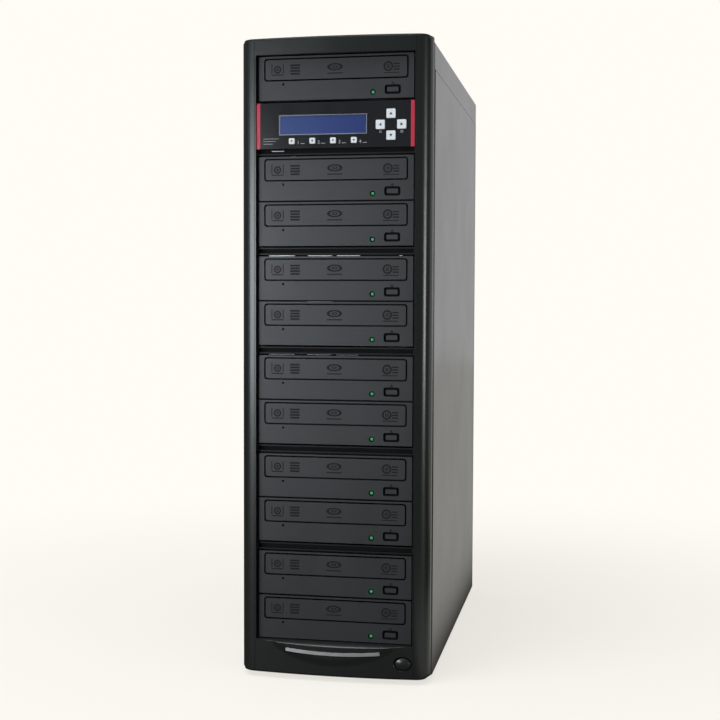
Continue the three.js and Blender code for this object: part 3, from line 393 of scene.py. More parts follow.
# Turns a shape into an object with its edges eased, its finish and its smooth shading. Each of the paints
# gives another finish to the faces chosen by their middle and the way they face
def makeThing(name, shape, material, edge=0.25, steps=2, angle=35, shade=38, paints=()):
    thing = asObject(rounded(shape, edge, steps, angle) if edge else shape, name)
    if shade:
        smoothShade(thing, shade)
    thing.data.materials.append(material)
    for index, (paint, chosen) in enumerate(paints):
        thing.data.materials.append(paint)
        for face in thing.data.polygons:
            if chosen(face.center, face.normal):
                face.material_index = index + 1
    return thing


# Moves a thing into the frame and fixes it to its body
def finishPiece(thing, body, replaces=()):
    thing.data.transform(toFrame())
    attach(thing, body)
    if replaces:
        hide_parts(*replaces)


def makePiece(name, shape, material, body, slot, edge=0.25, steps=2, replaces=(), **finish):
    finishPiece(makeThing(name, shape, material, edge, steps, **finish), body, replaces)


# Front bezel: bowed face, round corners, a tall recess for the units, five ribs and the lower panel
bezelLook = dict(
    bowProud=8.8, bowRadius=745, cornerRadius=14, faceCorner=7, rimCorner=2.6, cornerFrom=1, cornerTo=14,
    wall=2.4, faceEdge=2.4, recessHalf=75.4, creaseAt=76.5, creaseWide=0.5, creaseDeep=0.35, ribSetback=0.6,
    ribGap=0.9, ribHeight=8.35, channelHeight=4.2, channelDepth=3, groups=6, groupHeight=85, ledge=7,
    scoopHalf=74, scoopDrop=4, scoopBack=1.2, scoopRows=12, skinColumns=96, skinRows=28,
    bellyProud=1.5, bellyHalf=62, bellyDrop=23, bellyBlend=9, bellyTop=0.6, bellyBack=1.2, bellySkin=0.03,
    stripHalf=45, stripHigh=3.2, stripDrop=5.9, stripSag=2.3, stripSlip=0.4, stripFloor=1.5,
    dishRadius=9.5, dishRim=0.8, dishDeep=1.4, buttonSlip=0.4, guideWall=1.6, guideLong=10, guideAt=6.5)
stackBottom = spot("drive_11")[0].z - faceGap
stackTop = spot("drive_01")[1].z + faceGap


# The bezel in plan, drawn in by an inset, from one height to another
def bowed(inset, rear, bottom, top):
    look = bezelLook
    halfWidth = spot("front_bezel")[1].x
    cornerX = halfWidth - look["cornerRadius"]
    reach = look["bowRadius"] - look["cornerRadius"]
    centreY = look["bowRadius"] - look["bowProud"]
    cornerY = centreY - math.sqrt(reach ** 2 - cornerX ** 2)
    turn = math.degrees(math.asin(cornerX / reach))
    side = halfWidth - inset
    return outline("xy", (-side, rear), [
        (-side, cornerY), (-cornerX, cornerY, 90 - turn, 12), (0, centreY, 2 * turn, 56),
        (cornerX, cornerY, 90 - turn, 12), (side, rear)], bottom, top)


def bowAt(x):
    look = bezelLook
    return look["bowRadius"] - look["bowProud"] - math.sqrt(look["bowRadius"] ** 2 - x ** 2)


# Radius of an arc from half its width and its rise
def arcRadius(half, rise):
    return (half ** 2 + rise ** 2) / (2 * rise)


# The curved band of the bright strip seen from the front
def stripBand(slip, near, far, steps=40):
    look = bezelLook
    half = look["stripHalf"] + slip
    radius = arcRadius(half, look["stripSag"])
    outer = radius + look["stripHigh"] + 2 * slip
    centre = stackBottom - look["stripDrop"] + slip - look["stripSag"] + radius
    swing = math.asin(half / radius)
    turn = 2 * math.degrees(swing)
    return outline("xz", (-outer * math.sin(swing), centre - outer * math.cos(swing)), [
        (0, centre, turn, steps), (radius * math.sin(swing), centre - radius * math.cos(swing)),
        (0, centre, -turn, steps)], near, far)


# A share from 0 to 1 that starts and ends softly
def eased(part):
    part = max(0.0, min(1.0, part))
    return part * part * (3 - 2 * part)


# How far the belly of the lower panel swells out of the face: inside a smile, blended into it with no step
def swellAt(x, z):
    look = bezelLook
    half = look["bellyHalf"]
    radius = arcRadius(half, look["bellyDrop"] - look["scoopDrop"])
    inside = radius - math.hypot(x, z - (stackBottom - look["bellyDrop"] + radius))
    blend = look["bellyBlend"]
    return look["bellyProud"] * eased(inside / blend) * eased((half - abs(x)) / blend)


# A closed skin over a grid: columns of points across the shape, the same number in each. Its two ends are one
# face each. A thin blade has strips of four-sided ones there, and both its sides are split along one slant
def skin(columns, strips=False):
    bm = bmesh.new()
    rings = [[bm.verts.new(point) for point in column] for column in columns]
    count = len(rings[0])
    for left, right in zip(rings, rings[1:]):
        for i in range(count):
            j = (i + 1) % count
            quad = [left[i], right[i], right[j], left[j]]
            bm.faces.new(quad[1:] + quad[:1] if strips and i >= count // 2 else quad)
    if strips:
        for end in (rings[0], rings[-1]):
            for i in range(count // 2 - 1):
                bm.faces.new((end[i], end[i + 1], end[-i - 2], end[-i - 1]))
    else:
        bm.faces.new(rings[0])
        bm.faces.new(rings[-1][::-1])
    bm.normal_update()
    bmesh.ops.recalc_face_normals(bm, faces=bm.faces[:])
    return bm


# Even steps across a width
def stepsAcross(half):
    count = bezelLook["skinColumns"]
    return [half * (2 * i / count - 1) for i in range(count + 1)]


def bellyShape():
    look = bezelLook
    foot, top, rows = stackBottom - look["bellyDrop"], stackBottom + look["bellyTop"], look["skinRows"]
    heights = [foot + (top - foot) * j / rows for j in range(rows + 1)]
    points = []
    for x in stepsAcross(look["bellyHalf"]):
        back = bowAt(x) + look["bellyBack"]
        face = [(x, bowAt(x) + look["bellySkin"] - swellAt(x, z), z) for z in heights]
        points.append(face + [(x, back, top), (x, back, foot)])
    return skin(points)


# Scoop under the lowest drive: it leaves a lip that rolls over into the face, deepest in the middle
def scoopCut():
    look = bezelLook
    half, drop, back, rows = look["scoopHalf"], look["scoopDrop"], -look["scoopBack"], look["scoopRows"]
    radius = arcRadius(half, drop)
    least = 0.05
    points = []
    for x in stepsAcross(half):
        fall = max(least, math.sqrt(radius ** 2 - x ** 2) - radius + drop)
        low, high = stackBottom - fall, stackBottom + over
        lip = bowAt(x) - swellAt(x, low) - look["bellySkin"]
        angles = [math.radians(90 * j / rows) for j in range(rows + 1)]
        roll = [(x, back + (lip - back) * math.sin(a), low + fall * math.cos(a)) for a in angles]
        points.append(roll + [(x, lip - over, low), (x, lip - over, high), (x, back, high)])
    return skin(points)


# A shape turned round an axis along Y through a centre, from a list of (radius, depth)
def turnedShape(centre, profile, sides):
    x, y, z = centre
    angles = [math.tau * i / sides for i in range(sides)]
    return skin([[(x + radius * math.cos(a), y + depth, z + radius * math.sin(a)) for a in angles]
                 for radius, depth in profile])


# Flattens a shape in height round a level
def flatten(bm, level, share):
    bmesh.ops.scale(bm, vec=(1, 1, share), space=Matrix.Translation((0, 0, -level)), verts=bm.verts[:])


# The bezel seen from the front: its corners are round at the face and squarer at the rim behind
def frontShape(half, bottom, top, front, rear, steps=10, slices=8):
    look = bezelLook
    begin, end = look["cornerFrom"], look["cornerTo"]
    depths = [front, *[begin + (end - begin) * i / slices for i in range(slices + 1)], rear]
    rings = []
    for depth in depths:
        part = eased((depth - begin) / (end - begin))
        radius = look["faceCorner"] + (look["rimCorner"] - look["faceCorner"]) * part
        middles = ((half - radius, top - radius), (radius - half, top - radius),
                   (radius - half, bottom + radius), (half - radius, bottom + radius))
        points = []
        for quarter, (x, z) in enumerate(middles):
            for step in range(steps + 1):
                angle = math.radians(90 * (quarter + step / steps))
                points.append((x + radius * math.cos(angle), depth, z + radius * math.sin(angle)))
        rings.append(points)
    return skin(rings)


# Soft edge all round the bezel's face
def softenFace(bm, rear):
    bmesh.ops.remove_doubles(bm, verts=bm.verts[:], dist=0.002)
    bmesh.ops.dissolve_limit(bm, angle_limit=math.radians(0.2), verts=bm.verts[:], edges=bm.edges[:])
    sharp = [e for e in bm.edges if len(e.link_faces) == 2 and e.calc_face_angle() > math.radians(32)
             and max(v.co.y for v in e.verts) < rear - 1]
    bmesh.ops.bevel(bm, geom=sharp, offset=bezelLook["faceEdge"], segments=6, profile=0.5, affect="EDGES",
                    material=-1)


# One recess in front of the ribs, then a window for each group and a channel in each rib
def unitCuts(front, rear):
    look = bezelLook
    half, setback, count = look["recessHalf"], look["ribSetback"], look["groups"]
    recess = block((-half, front, stackBottom), (half, setback, stackTop))
    windows, channels = bmesh.new(), bmesh.new()
    wide, tall, deep = half - look["wall"] / 2, look["channelHeight"] / 2, setback + look["channelDepth"]
    for group in range(count):
        low = stackBottom + group * (look["groupHeight"] + look["ribHeight"])
        high = low + look["groupHeight"]
        down = look["ribGap"] if group else 0
        up = look["ribGap"] if group < count - 1 else 0
        addBlock(windows, (-half, -over, low - down), (half, rear + over, high + up))
        if group:
            middle = low - look["ribHeight"] / 2
            addBlock(channels, (-wide, -over, middle - tall), (wide, deep, middle + tall))
    return recess, windows, channels


def makeBezel():
    look = bezelLook
    low, high = spot("front_bezel")
    bottom, top, rear = low.z, high.z, high.y
    front = low.y - over
    wall, half, setback = look["wall"], look["recessHalf"], look["ribSetback"]
    outer = frontShape(high.x, bottom, top, front, rear + over)
    face = combine(bowed(0, rear, bottom, top), [outer], "INTERSECT")
    softenFace(face, rear)
    face = combine(face, [bellyShape()], "UNION")

    # Hollow behind the face, all but the tunnel round the units
    tunnel = block((-half - wall, front, stackBottom - look["ledge"]),
                   (half + wall, rear + 2 * over, stackTop + wall))
    hollow = combine(bowed(wall, rear + over, bottom + wall, top - wall), [tunnel])

    # Pocket of the bright strip, a little deeper than the strip
    bed = bowed(look["stripFloor"] - look["bellyProud"] + 0.3, rear, bottom, stackBottom)
    pocket = combine(stripBand(look["stripSlip"], front, 0), [bed])

    # Guide, dish and hole of the power button: oval, the dish's rim rounded over
    centre, size = middleOf("power_button")
    flatness = size.z / size.x
    slip = size.x / 2 + look["buttonSlip"]
    faceY = bowAt(centre.x)
    dishRadius, rim = look["dishRadius"], look["dishRim"]
    sides, steps = 72, 5
    angles = [math.radians(90 * step / steps) for step in range(1, steps + 1)]
    rolled = [(dishRadius - rim * math.sin(a), rim * (1 - math.cos(a))) for a in angles]
    profile = [(dishRadius + 0.05, -over), (dishRadius + 0.05, 0), *rolled, (slip, look["dishDeep"])]
    guide = rod((centre.x, faceY + look["guideAt"], centre.z), slip + look["guideWall"], look["guideLong"],
                "y", sides)
    dish = turnedShape((centre.x, faceY, centre.z), profile, sides)
    hole = rod((centre.x, rear / 2, centre.z), slip, 3 * rear, "y", sides)
    for shape in (guide, dish, hole):
        flatten(shape, centre.z, flatness)

    # Fine creases where the columns meet the front between them
    creases = bmesh.new()
    for side in (-1, 1):
        x, wide = side * look["creaseAt"], look["creaseWide"] / 2
        deep = bowAt(x) + look["creaseDeep"]
        addBlock(creases, (x - wide, front, bottom - over), (x + wide, deep, top + over))

    face = combine(face, [hollow, *unitCuts(front, rear), scoopCut(), pocket, creases])
    face = combine(combine(face, [guide], "UNION"), [dish, hole])

    # Painted shade: the upper rim and the ribs get a duller, darker black than the face, and the dish's floor
    # and what lies behind the ribs an unlit black
    def inDish(at, facing):
        away = math.hypot(at.x - centre.x, (at.z - centre.z) / flatness)
        return faceY + rim * 0.8 < at.y < rear and away < dishRadius - rim + 0.3

    def inStack(at, behind):
        return abs(at.x) < half - 0.4 and at.y > setback + behind and stackBottom + 1 < at.z < stackTop - 1

    paints = [(shadedBezelAbs, lambda at, facing: at.z > top - look["faceEdge"] and facing.z > 0.3),
              (blackAbsAndPaintedShade, inDish),
              (shadedBezelAbs, lambda at, facing: inStack(at, -0.4)),
              (blackAbsAndPaintedShade, lambda at, facing: inStack(at, 0.3))]
    makePiece("front_bezel_moulding", face, bezelAbs, main, "bezel_plastic", 0.35, 2, ["front_bezel"],
              angle=30, shade=30, paints=paints)


def makeStrip():
    low, high = spot("trim_strip")
    rear = spot("front_bezel")[1].y
    inner = bowed(1.2 - bezelLook["bellyProud"], rear + over, low.z - over, high.z + over)
    strip = combine(bowed(low.y + bezelLook["bowProud"], rear, low.z - 2, high.z + 2), [inner])
    strip = combine(strip, [stripBand(0, low.y - over, 0)], "INTERSECT")
    makePiece("bright_strip", strip, stripMetal, main, "bright_trim", 0.45, 3, ["trim_strip"], angle=30,
              shade=30)


# Power button: a domed cap turned on a lathe
def makePowerButton():
    look = dict(dome=1.2, edge=0.7, steps=64)
    low, high = spot("power_button")
    centre, size = middleOf("power_button")
    radius, edge = size.x / 2, look["edge"]
    sphere = arcRadius(radius, look["dome"])
    crown = math.asin((radius - edge) / sphere)
    bm = bmesh.new()
    tip = bm.verts.new((centre.x, low.y, centre.z))
    tip = lastPoint(bmesh.ops.spin(bm, geom=[tip], cent=(centre.x, low.y + sphere, centre.z), axis=(0, 0, 1),
                                   angle=crown, steps=14))
    tip = lastPoint(bmesh.ops.spin(bm, geom=[tip], cent=(centre.x + radius - edge, tip.co.y + edge, centre.z),
                                   axis=(0, 0, 1), angle=math.radians(90), steps=5))
    for x in (centre.x + radius, centre.x):
        tip = bmesh.ops.extrude_vert_indiv(bm, verts=[tip])["verts"][0]
        tip.co = (x, high.y, centre.z)
    bmesh.ops.spin(bm, geom=bm.verts[:] + bm.edges[:], cent=centre, axis=(0, 1, 0), angle=math.tau,
                   steps=look["steps"], use_merge=True)
    flatten(bm, centre.z, size.z / size.x)
    bmesh.ops.remove_doubles(bm, verts=bm.verts[:], dist=1e-4)
    bmesh.ops.recalc_face_normals(bm, faces=bm.faces[:])
    makePiece("power_button_cap", bm, buttonAbs, "power_button", "bezel_plastic", 0,
              replaces=["power_button"], shade=35)


makeBezel()
makeStrip()
makePowerButton()
print("bezel ready")


# Optical drives: one front, case, door and tray shaped for the top drive and repeated down the tower
driveLook = dict(
    count=11, faceThick=4.5, faceIn=0.28, doorHalf=67.6, doorHigh=19.4, doorThick=3.2, doorGap=0.5,
    grooveMore=0.35, doorTop=2.5, doorCorner=2, caseHalf=73, caseGap=0.3, caseBack=2, hollowHalf=65.6,
    hollowBack=10.3, hollowTop=3.1, seamDrop=12.3, seamHigh=0.4, seamDeep=0.3,
    lipHalf=73, lipHigh=1.45, lipDeep=3,
    ledX=35.3, ledDrop=35.5, ledRadius=1.5, ledRing=2.5, pinX=-50, pinDrop=26.3, pinRadius=1.0,
    dishWide=15, dishHigh=8.4, dishDeep=1.6, dishCorner=2, buttonSlip=0.4, capLess=0.5,
    triangleDrop=27.6, triangleHalf=1.7, inkDeep=0.02, inkProud=0.04)
driveLabels = [f"{n:02d}" for n in range(1, driveLook["count"] + 1)]
trayLook = dict(
    half=64.8, front=1.6, lift=2, thick=5, corner=2.5, discAt=70, discRadius=60.6, discDeep=1.8,
    smallRadius=41, smallDeep=1, sledWide=38, sledLong=74, sledCorner=17, notchWide=30, notchLong=15,
    notchCorner=5,
    grooveIn=1.6, grooveWide=1, grooveDeep=0.8, tabs=4, tabWide=9, tabDeep=4)


# A lamp's lens: clear green plastic lit from behind, brightest in the middle
def ledGlow():
    material, tree, shader, place = startMaterial("green_led_lens", {
        "Base Color": hexColour("#1f7a44"), "Roughness": 0.2, "IOR": 1.58, "Emission Strength": 0.3})
    grain = noiseAt(tree, place, 0.8, 2.0)
    tree.links.new(tinted(tree, grain, "#2fae66", "#49c47e"), shader.inputs["Emission Color"])
    bumped(tree, shader, grain, 0.01)
    return material


ledLens = ledGlow()


# Faces that do not face straight out; these get painted shade, an unlit black
def offFront(at, facing):
    return facing.y > -0.99


def makeDriveFront():
    look = driveLook
    low, high = spot("drive_01")
    inset, thick = look["faceIn"], look["faceThick"]
    margin = look["doorGap"] + look["grooveMore"]
    slotHigh = look["doorHigh"] + 2 * margin
    slotZ = high.z - look["doorTop"] + look["grooveMore"] - slotHigh / 2
    eject, size = middleOf("eject_01")
    slip = look["buttonSlip"]
    front = block((-high.x + inset, 0, low.z + inset), (high.x - inset, thick, high.z - inset))
    front = combine(front, [
        plate(0, slotZ, 2 * (look["doorHalf"] + margin), slotHigh, -over, thick + over,
              look["doorCorner"] + margin),
        plate(eject.x, eject.z, look["dishWide"], look["dishHigh"], -over, look["dishDeep"],
              look["dishCorner"]),
        plate(eject.x, eject.z, size.x + 2 * slip, size.z + 2 * slip, -over, thick + over, 1 + slip),
        rod((look["ledX"], 0, high.z - look["ledDrop"]), look["ledRing"], 2.6),
        rod((look["pinX"], 0, high.z - look["pinDrop"]), look["pinRadius"], 3 * thick, "y", 24)])
    # Painted shade: the walls of the door's slot, the dish, the button's opening, the lamp's ring and the
    # pinhole, and every face not facing straight out, are unlit black
    return makeThing("drive_front", front, driveHips, 0.1, 1, paints=[
        (blackAbsAndPaintedShade, lambda at, facing: offFront(at, facing) or at.y > 0.3)])


# Steel case of a drive behind its front, with the seam of its lid and the screw holes of its sides
def makeDriveCase():
    look = driveLook
    low, high = spot("drive_01")
    gap, half = look["caseGap"], look["caseHalf"]
    front, roof = look["faceThick"] - 0.1, high.z - gap
    seam, holes = bmesh.new(), bmesh.new()
    for side in (-1, 1):
        seamX, seamZ, deep = side * half, high.z - look["seamDrop"], look["seamDeep"]
        addBlock(seam, (seamX - deep, 12, seamZ), (seamX + deep, high.y + over, seamZ + look["seamHigh"]))
        for y in (52, 131):
            for z in (10, 21.8):
                addRod(holes, (seamX, y, low.z + z), 1.6, 3, "x", 20)
    hollow = block((-look["hollowHalf"], -over, spot("tray_01")[0].z),
                   (look["hollowHalf"], high.y - look["hollowBack"], high.z - look["hollowTop"]))
    case = block((-half, front, low.z + gap), (half, high.y - look["caseBack"], roof))
    # Lip on top, just behind the front, that closes the gap to the next drive: a block of painted shade,
    # unlit black, so that the gap reads dark
    lip = block((-look["lipHalf"], front, roof - 0.5),
                (look["lipHalf"], look["faceThick"] + look["lipDeep"], roof + look["lipHigh"]))
    case = combine(combine(case, [hollow, seam, holes]), [lip], "UNION")
    # Painted shade: the lip and the case's front faces, seen through the gaps and the pinhole, are unlit
    # black
    return makeThing("drive_case", case, driveZinc, 0.4, paints=[
        (blackAbsAndPaintedShade, lambda at, facing: at.z > roof + 0.01 or facing.y < -0.9)])


def makeDriveSockets():
    low, high = spot("drive_01")
    back = high.y - driveLook["caseBack"]
    bm = bmesh.new()
    for x, wide in ((58, 22), (30, 12), (-20, 14)):
        addShape(bm, plate(x, low.z + 8, wide, 8, back - 0.2, back + 1.8, 1, 3))
    return makeThing("drive_sockets", bm, blackAbsAndPaintedShade, 0.2, 1)


# Door and tray are one moving piece: the door's face, then the plate with its steps for two disc sizes
def makeTray():
    look, drive = trayLook, driveLook
    rear = spot("tray_01")[1].y
    less, thick = drive["grooveMore"], drive["doorThick"]
    doorZ = spot("drive_01")[1].z - drive["doorTop"] - drive["doorGap"] - drive["doorHigh"] / 2
    low = doorZ - drive["doorHigh"] / 2 - drive["doorGap"] + look["lift"]
    top, half, middle = low + look["thick"], look["half"], look["discAt"]
    door = rounded(plate(0, doorZ, 2 * (drive["doorHalf"] - less), drive["doorHigh"] - 2 * less, 0, thick,
                         drive["doorCorner"]), 0.1, 1)

    deep = look["discDeep"] + look["smallDeep"]
    sledHalf, sledFront = look["sledWide"] / 2, middle - look["sledWide"] / 2
    notchHalf, notchY = look["notchWide"] / 2, middle - look["discRadius"]
    grooves = bmesh.new()
    for side in (-1, 1):
        x, wide = side * (half - look["grooveIn"]), look["grooveWide"] / 2
        addBlock(grooves, (x - wide, 10, top - look["grooveDeep"]), (x + wide, rear - 6, top + over))
    tray = combine(block((-half, look["front"], low), (half, rear, top), look["corner"], "z", 5), [
        rod((0, middle, top), look["discRadius"], 2 * look["discDeep"], "z", 160),
        rod((0, middle, top), look["smallRadius"], 2 * deep, "z", 128),
        block((-sledHalf, sledFront, low - over), (sledHalf, sledFront + look["sledLong"], top + over),
              look["sledCorner"], "z", 12),
        block((-notchHalf, notchY - look["notchLong"] / 2, top - deep),
              (notchHalf, notchY + look["notchLong"] / 2, top + over), look["notchCorner"], "z", 8),
        grooves])

    # Small clips that hold a disc when the tower stands on its side
    clips = bmesh.new()
    size = Matrix.Diagonal((look["tabDeep"], look["tabWide"], look["discDeep"] - 0.7, 1))
    for index in range(look["tabs"]):
        angle = math.radians(45 + 90 * index)
        turn = Matrix.Translation((0, middle, top - look["discDeep"] + 0.3)) @ Matrix.Rotation(angle, 4, "Z")
        reach = Matrix.Translation((look["discRadius"], 0, 0))
        bmesh.ops.create_cube(clips, size=1, matrix=turn @ reach @ size)
    tray = rounded(combine(tray, [clips], "UNION"), 0.25)
    # Painted shade: the door's walls in its groove are unlit black; the tray behind the door has its own dull
    # black
    return makeThing("tray", combine(tray, [door], "UNION"), driveHips, 0, paints=[
        (trayAbs, lambda at, facing: at.y > thick + 0.01),
        (blackAbsAndPaintedShade, lambda at, facing: at.y < thick + 0.01 and offFront(at, facing))])


# Printed marks on a door, plain signs: a disc in a frame, a stack, a flat ring over a bar, a disc by bars
def makeDoorMarks():
    deep, proud = driveLook["inkDeep"], driveLook["inkProud"]
    upper = spot("drive_01")[1].z - driveLook["doorTop"] - driveLook["doorGap"] - 6.5
    rings = ((-55.5, -3, 3.6, 2.2, 1), (-55.5, -3, 1.4, 0.5, 1), (-0.6, -1.8, 7.4, 4.6, 0.46),
             (-0.6, -1.8, 2.8, 1.2, 0.46), (49.6, -2.8, 4.6, 2.9, 1), (49.6, -2.8, 1.7, 0.7, 1))
    bars = [(-55.5, -7.9, 11.4, 1.0), (-61.0, -2.4, 0.9, 8.4), (-50.0, -2.4, 0.9, 8.4),
            *[(-38.6, 0.6 - 2.6 * row, 9.6 - 0.8 * (row % 2), 1.7) for row in range(4)],
            (-0.6, -7.6, 14.5, 1.1), *[(57.4, -0.6 - 2.5 * row, 5.8, 1.3) for row in range(3)],
            (52.5, -8.6, 14.5, 0.9)]
    bm = bmesh.new()
    for x, z, outer, inner, squash in rings:
        place = Matrix.Translation((x, (proud - deep) / 2, upper + z)) @ Matrix.Diagonal((1, 1, squash, 1))
        addShape(bm, ring((0, 0, 0), outer, inner, proud + deep), place)
    for x, z, wide, high in bars:
        addShape(bm, plate(x, upper + z, wide, high, -deep, proud))
    return makeThing("door_marks", bm, markInk, 0, shade=0)


# Eject mark over the button: a triangle on a bar
def makeEjectMark():
    look = driveLook
    x = middleOf("eject_01")[0].x
    z = spot("drive_01")[1].z - look["triangleDrop"]
    half, deep, proud = look["triangleHalf"], look["inkDeep"], look["inkProud"]
    bm = outline("xz", (x - half, z - 0.5), [(x + half, z - 0.5), (x, z + 1.5)], -deep, proud)
    addBlock(bm, (x - half, -deep, z - 1.5), (x + half, proud, z - 0.9))
    return makeThing("eject_mark", bm, markInk, 0, shade=0)


def makeLed():
    look = driveLook
    place = Matrix.Translation((look["ledX"], 1.3, spot("drive_01")[1].z - look["ledDrop"]))
    bm = bmesh.new()
    bmesh.ops.create_uvsphere(bm, u_segments=24, v_segments=12, radius=look["ledRadius"],
                              matrix=place @ Matrix.Diagonal((1, 0.9, 1, 1)))
    return makeThing("led_lens", bm, ledLens, 0, shade=60)


def makeEjectCap():
    low, high = spot("eject_01")
    less = Vector((driveLook["capLess"], 0, driveLook["capLess"]))
    # Painted shade: the cap's sides and rounded edges in its slot are unlit black
    return makeThing("eject_cap", block(low + less, high - less, 1, "y", 5), driveHips, 0.14, 1,
                     paints=[(blackAbsAndPaintedShade, offFront)])


def makeDrives():
    first = spot("drive_01")[0]
    things = {
        "drive_front": (makeDriveFront(), None, "drive_shell", "drive"),
        "drive_case": (makeDriveCase(), None, "drive_shell", None),
        "drive_sockets": (makeDriveSockets(), None, "drive_shell", None),
        "drive_led": (makeLed(), None, "drive_shell", None),
        "eject_mark": (makeEjectMark(), None, "drive_shell", None),
        "tray_plate": (makeTray(), "tray", "drive_plastic", "tray"),
        "door_marks": (makeDoorMarks(), "tray", "drive_plastic", None),
        "eject_button": (makeEjectCap(), "eject", "drive_plastic", "eject"),
    }
    for label in driveLabels:
        shift = spot(f"drive_{label}")[0] - first
        for name, (thing, body, slotName, node) in things.items():
            twin = thing.copy()
            twin.data = thing.data.copy()
            twin.name = f"{name}_{label}"
            twin.data.transform(Matrix.Translation(shift))
            scene.collection.objects.link(twin)
            owner = f"{body}_{label}" if body else main
            finishPiece(twin, owner, [f"{node}_{label}"] if node else [])
    for thing, *_ in things.values():
        dropThing(thing)


# Contact springs of the drive cage: bright slivers that show in the channels of the ribs and beside a drive
def makeSprings():
    front, bend = 1.2, 0.45
    strips = (
        (402, -64.2, -39, 0.35), (402, -26.4, -3.3, 0.35), (402, 1.4, 23.4, 0.35), (402, 60.7, 63.5, 0.35),
        (358.7, -26.3, -3.2, 0.35), (500, -61.3, -49.7, 0.35), (494.5, -42.9, -38.1, 0.35),
        (308.8, -64, -39.5, 0), (308.8, -27, -3.5, 0), (308.8, 1, 22, 0))
    bm = bmesh.new()
    for z, left, right, lip in strips:
        addShape(bm, outline("yz", (front, z - lip), [
            (front, z + 0.1), (front + bend, z + 0.1, -90, 4), (9, z + 0.55), (9, z + 0.3),
            (front + bend, z + 0.25), (front + 0.25, z + 0.15), (front + 0.25, z - lip)], left, right))
    makePiece("contact_springs", bm, contactSpring, main, "zinc_steel", 0.05, 1)


makeDrives()
makeSprings()
print("drives ready")


# Gloss front of the control unit: black film under clear plastic, mirror-like
fasciaGloss = mouldedPlastic("gloss_black_fascia", "#191b1e", "#1d1f22", clouds=50, rough=(0.13, 0.03),
                             grain=(3.0, 0.002), wipe=25)
# Its ends: the same gloss over red
fasciaRed = mouldedPlastic("gloss_red_fascia_end", "#b63549", "#c33d52", clouds=12, rough=(0.16, 0.03),
                           grain=(3.0, 0.002), wipe=25)
# Screen print on the fascia: flat pale grey ink
paleInk = mouldedPlastic("pale_screen_print", "#a9adb1", "#b5b9bd", clouds=5, rough=(0.4, 0.03),
                         grain=(0.4, 0.002), wipe=6)
# Solder mask over the tracks of a circuit board: deep green, glossy
boardGreen = mouldedPlastic("green_solder_mask", "#12452b", "#1b6a41", clouds=2.2, rough=(0.28, 0.08),
                            grain=(1.2, 0.03), wipe=9)
# Anodised cooler: dark grey with a fine lay
coolerAlloy = brushedMetal("anodised_cooler", "#3b3d40", "#4a4c50", 0.6, (1, 0.06, 1), 0.003, 0.35)

controlLook = dict(
    bottom=503.75, thick=3.4, half=75, high=42.4, redFrom=71.5, windowGap=0.25, keyGap=0.3, edge=0.35,
    rim=0.8, glassDeep=0.8, cellsAcross=16, cellsDown=2,
    trayUp=0.75, trayHalf=73, trayHigh=26, trayBend=2.2, trayEnd=104, sheet=1.2,
    boardUp=7, boardThick=1.6, boardMargin=3, boardFront=9, postIn=3,
    cooler=34, coolerHigh=11, fins=9, finThick=1.2, sockets=11, socketPitch=11.4)
keyNodes = ["key_up", "key_down", "key_left", "key_right", *[f"key_small_{n}" for n in range(1, 5)]]


# Display glass: blue backlight through a film of faint character cells, lighter towards the left
def displayBlue():
    low, high = spot("display")
    material, tree, shader, place = startMaterial("blue_display_glass", {
        "Roughness": 0.2, "IOR": 1.5, "Emission Strength": 0.1})
    parts = addNode(tree, "ShaderNodeSeparateXYZ", {}, {0: place}).outputs
    wide, tall = (high.x - low.x) * mm, (high.z - low.z) * mm
    across = ranged(tree, parts["X"], 0, 1, low.x * mm, high.x * mm)
    flat = addNode(tree, "ShaderNodeCombineXYZ", {}, {0: parts["X"], 1: parts["Z"]}).outputs[0]
    cells = addNode(tree, "ShaderNodeTexBrick", {
        "offset": 0.0, "offset_frequency": 1, "Scale": 1.0,
        "Brick Width": wide / (controlLook["cellsAcross"] + 1),
        "Row Height": tall / (controlLook["cellsDown"] + 0.6), "Mortar Size": 0.35 * mm, "Mortar Smooth": 0.2,
        "Color1": (1, 1, 1, 1), "Color2": (0.93, 0.93, 0.93, 1), "Mortar": (0, 0, 0, 1)}, {"Vector": flat})
    glow = addNode(tree, "ShaderNodeMix", {"data_type": "RGBA", "blend_type": "MULTIPLY", 0: 0.05}, {
        6: tinted(tree, across, "#2c4074", "#24366a"), 7: cells.outputs["Color"]}).outputs[2]
    tree.links.new(glow, shader.inputs["Base Color"])
    tree.links.new(glow, shader.inputs["Emission Color"])
    bumped(tree, shader, noiseAt(tree, place, 30, 1.0), 0.004)
    return material


displayGlass = displayBlue()


def makeFascia():
    look = controlLook
    low = spot("control_unit")[0]
    thick, half, gap = look["thick"], look["half"], 2 * look["windowGap"]
    middle, size = middleOf("display")
    window = plate(middle.x, middle.z, size.x + gap, size.z + gap, -thick - over, over, 0.6)
    holes = bmesh.new()
    for node in keyNodes:
        middle, size = middleOf(node)
        wide = size.x + 2 * look["keyGap"]
        addShape(holes, plate(middle.x, middle.z, wide, wide, -thick - over, over, 1.2, 5))
    fascia = combine(block((-half, -thick, low.z), (half, 0, low.z + look["high"])), [window, holes])
    fascia = rounded(fascia, look["edge"], 3)
    for side in (-1, 1):
        bmesh.ops.bisect_plane(fascia, geom=fascia.verts[:] + fascia.edges[:] + fascia.faces[:],
                               plane_co=(side * look["redFrom"], 0, 0), plane_no=(1, 0, 0))
    makePiece("control_fascia", fascia, fasciaGloss, main, "gloss_fascia", 0, replaces=["control_unit"],
              paints=[(fasciaRed, lambda at, facing: abs(at.x) > look["redFrom"])])


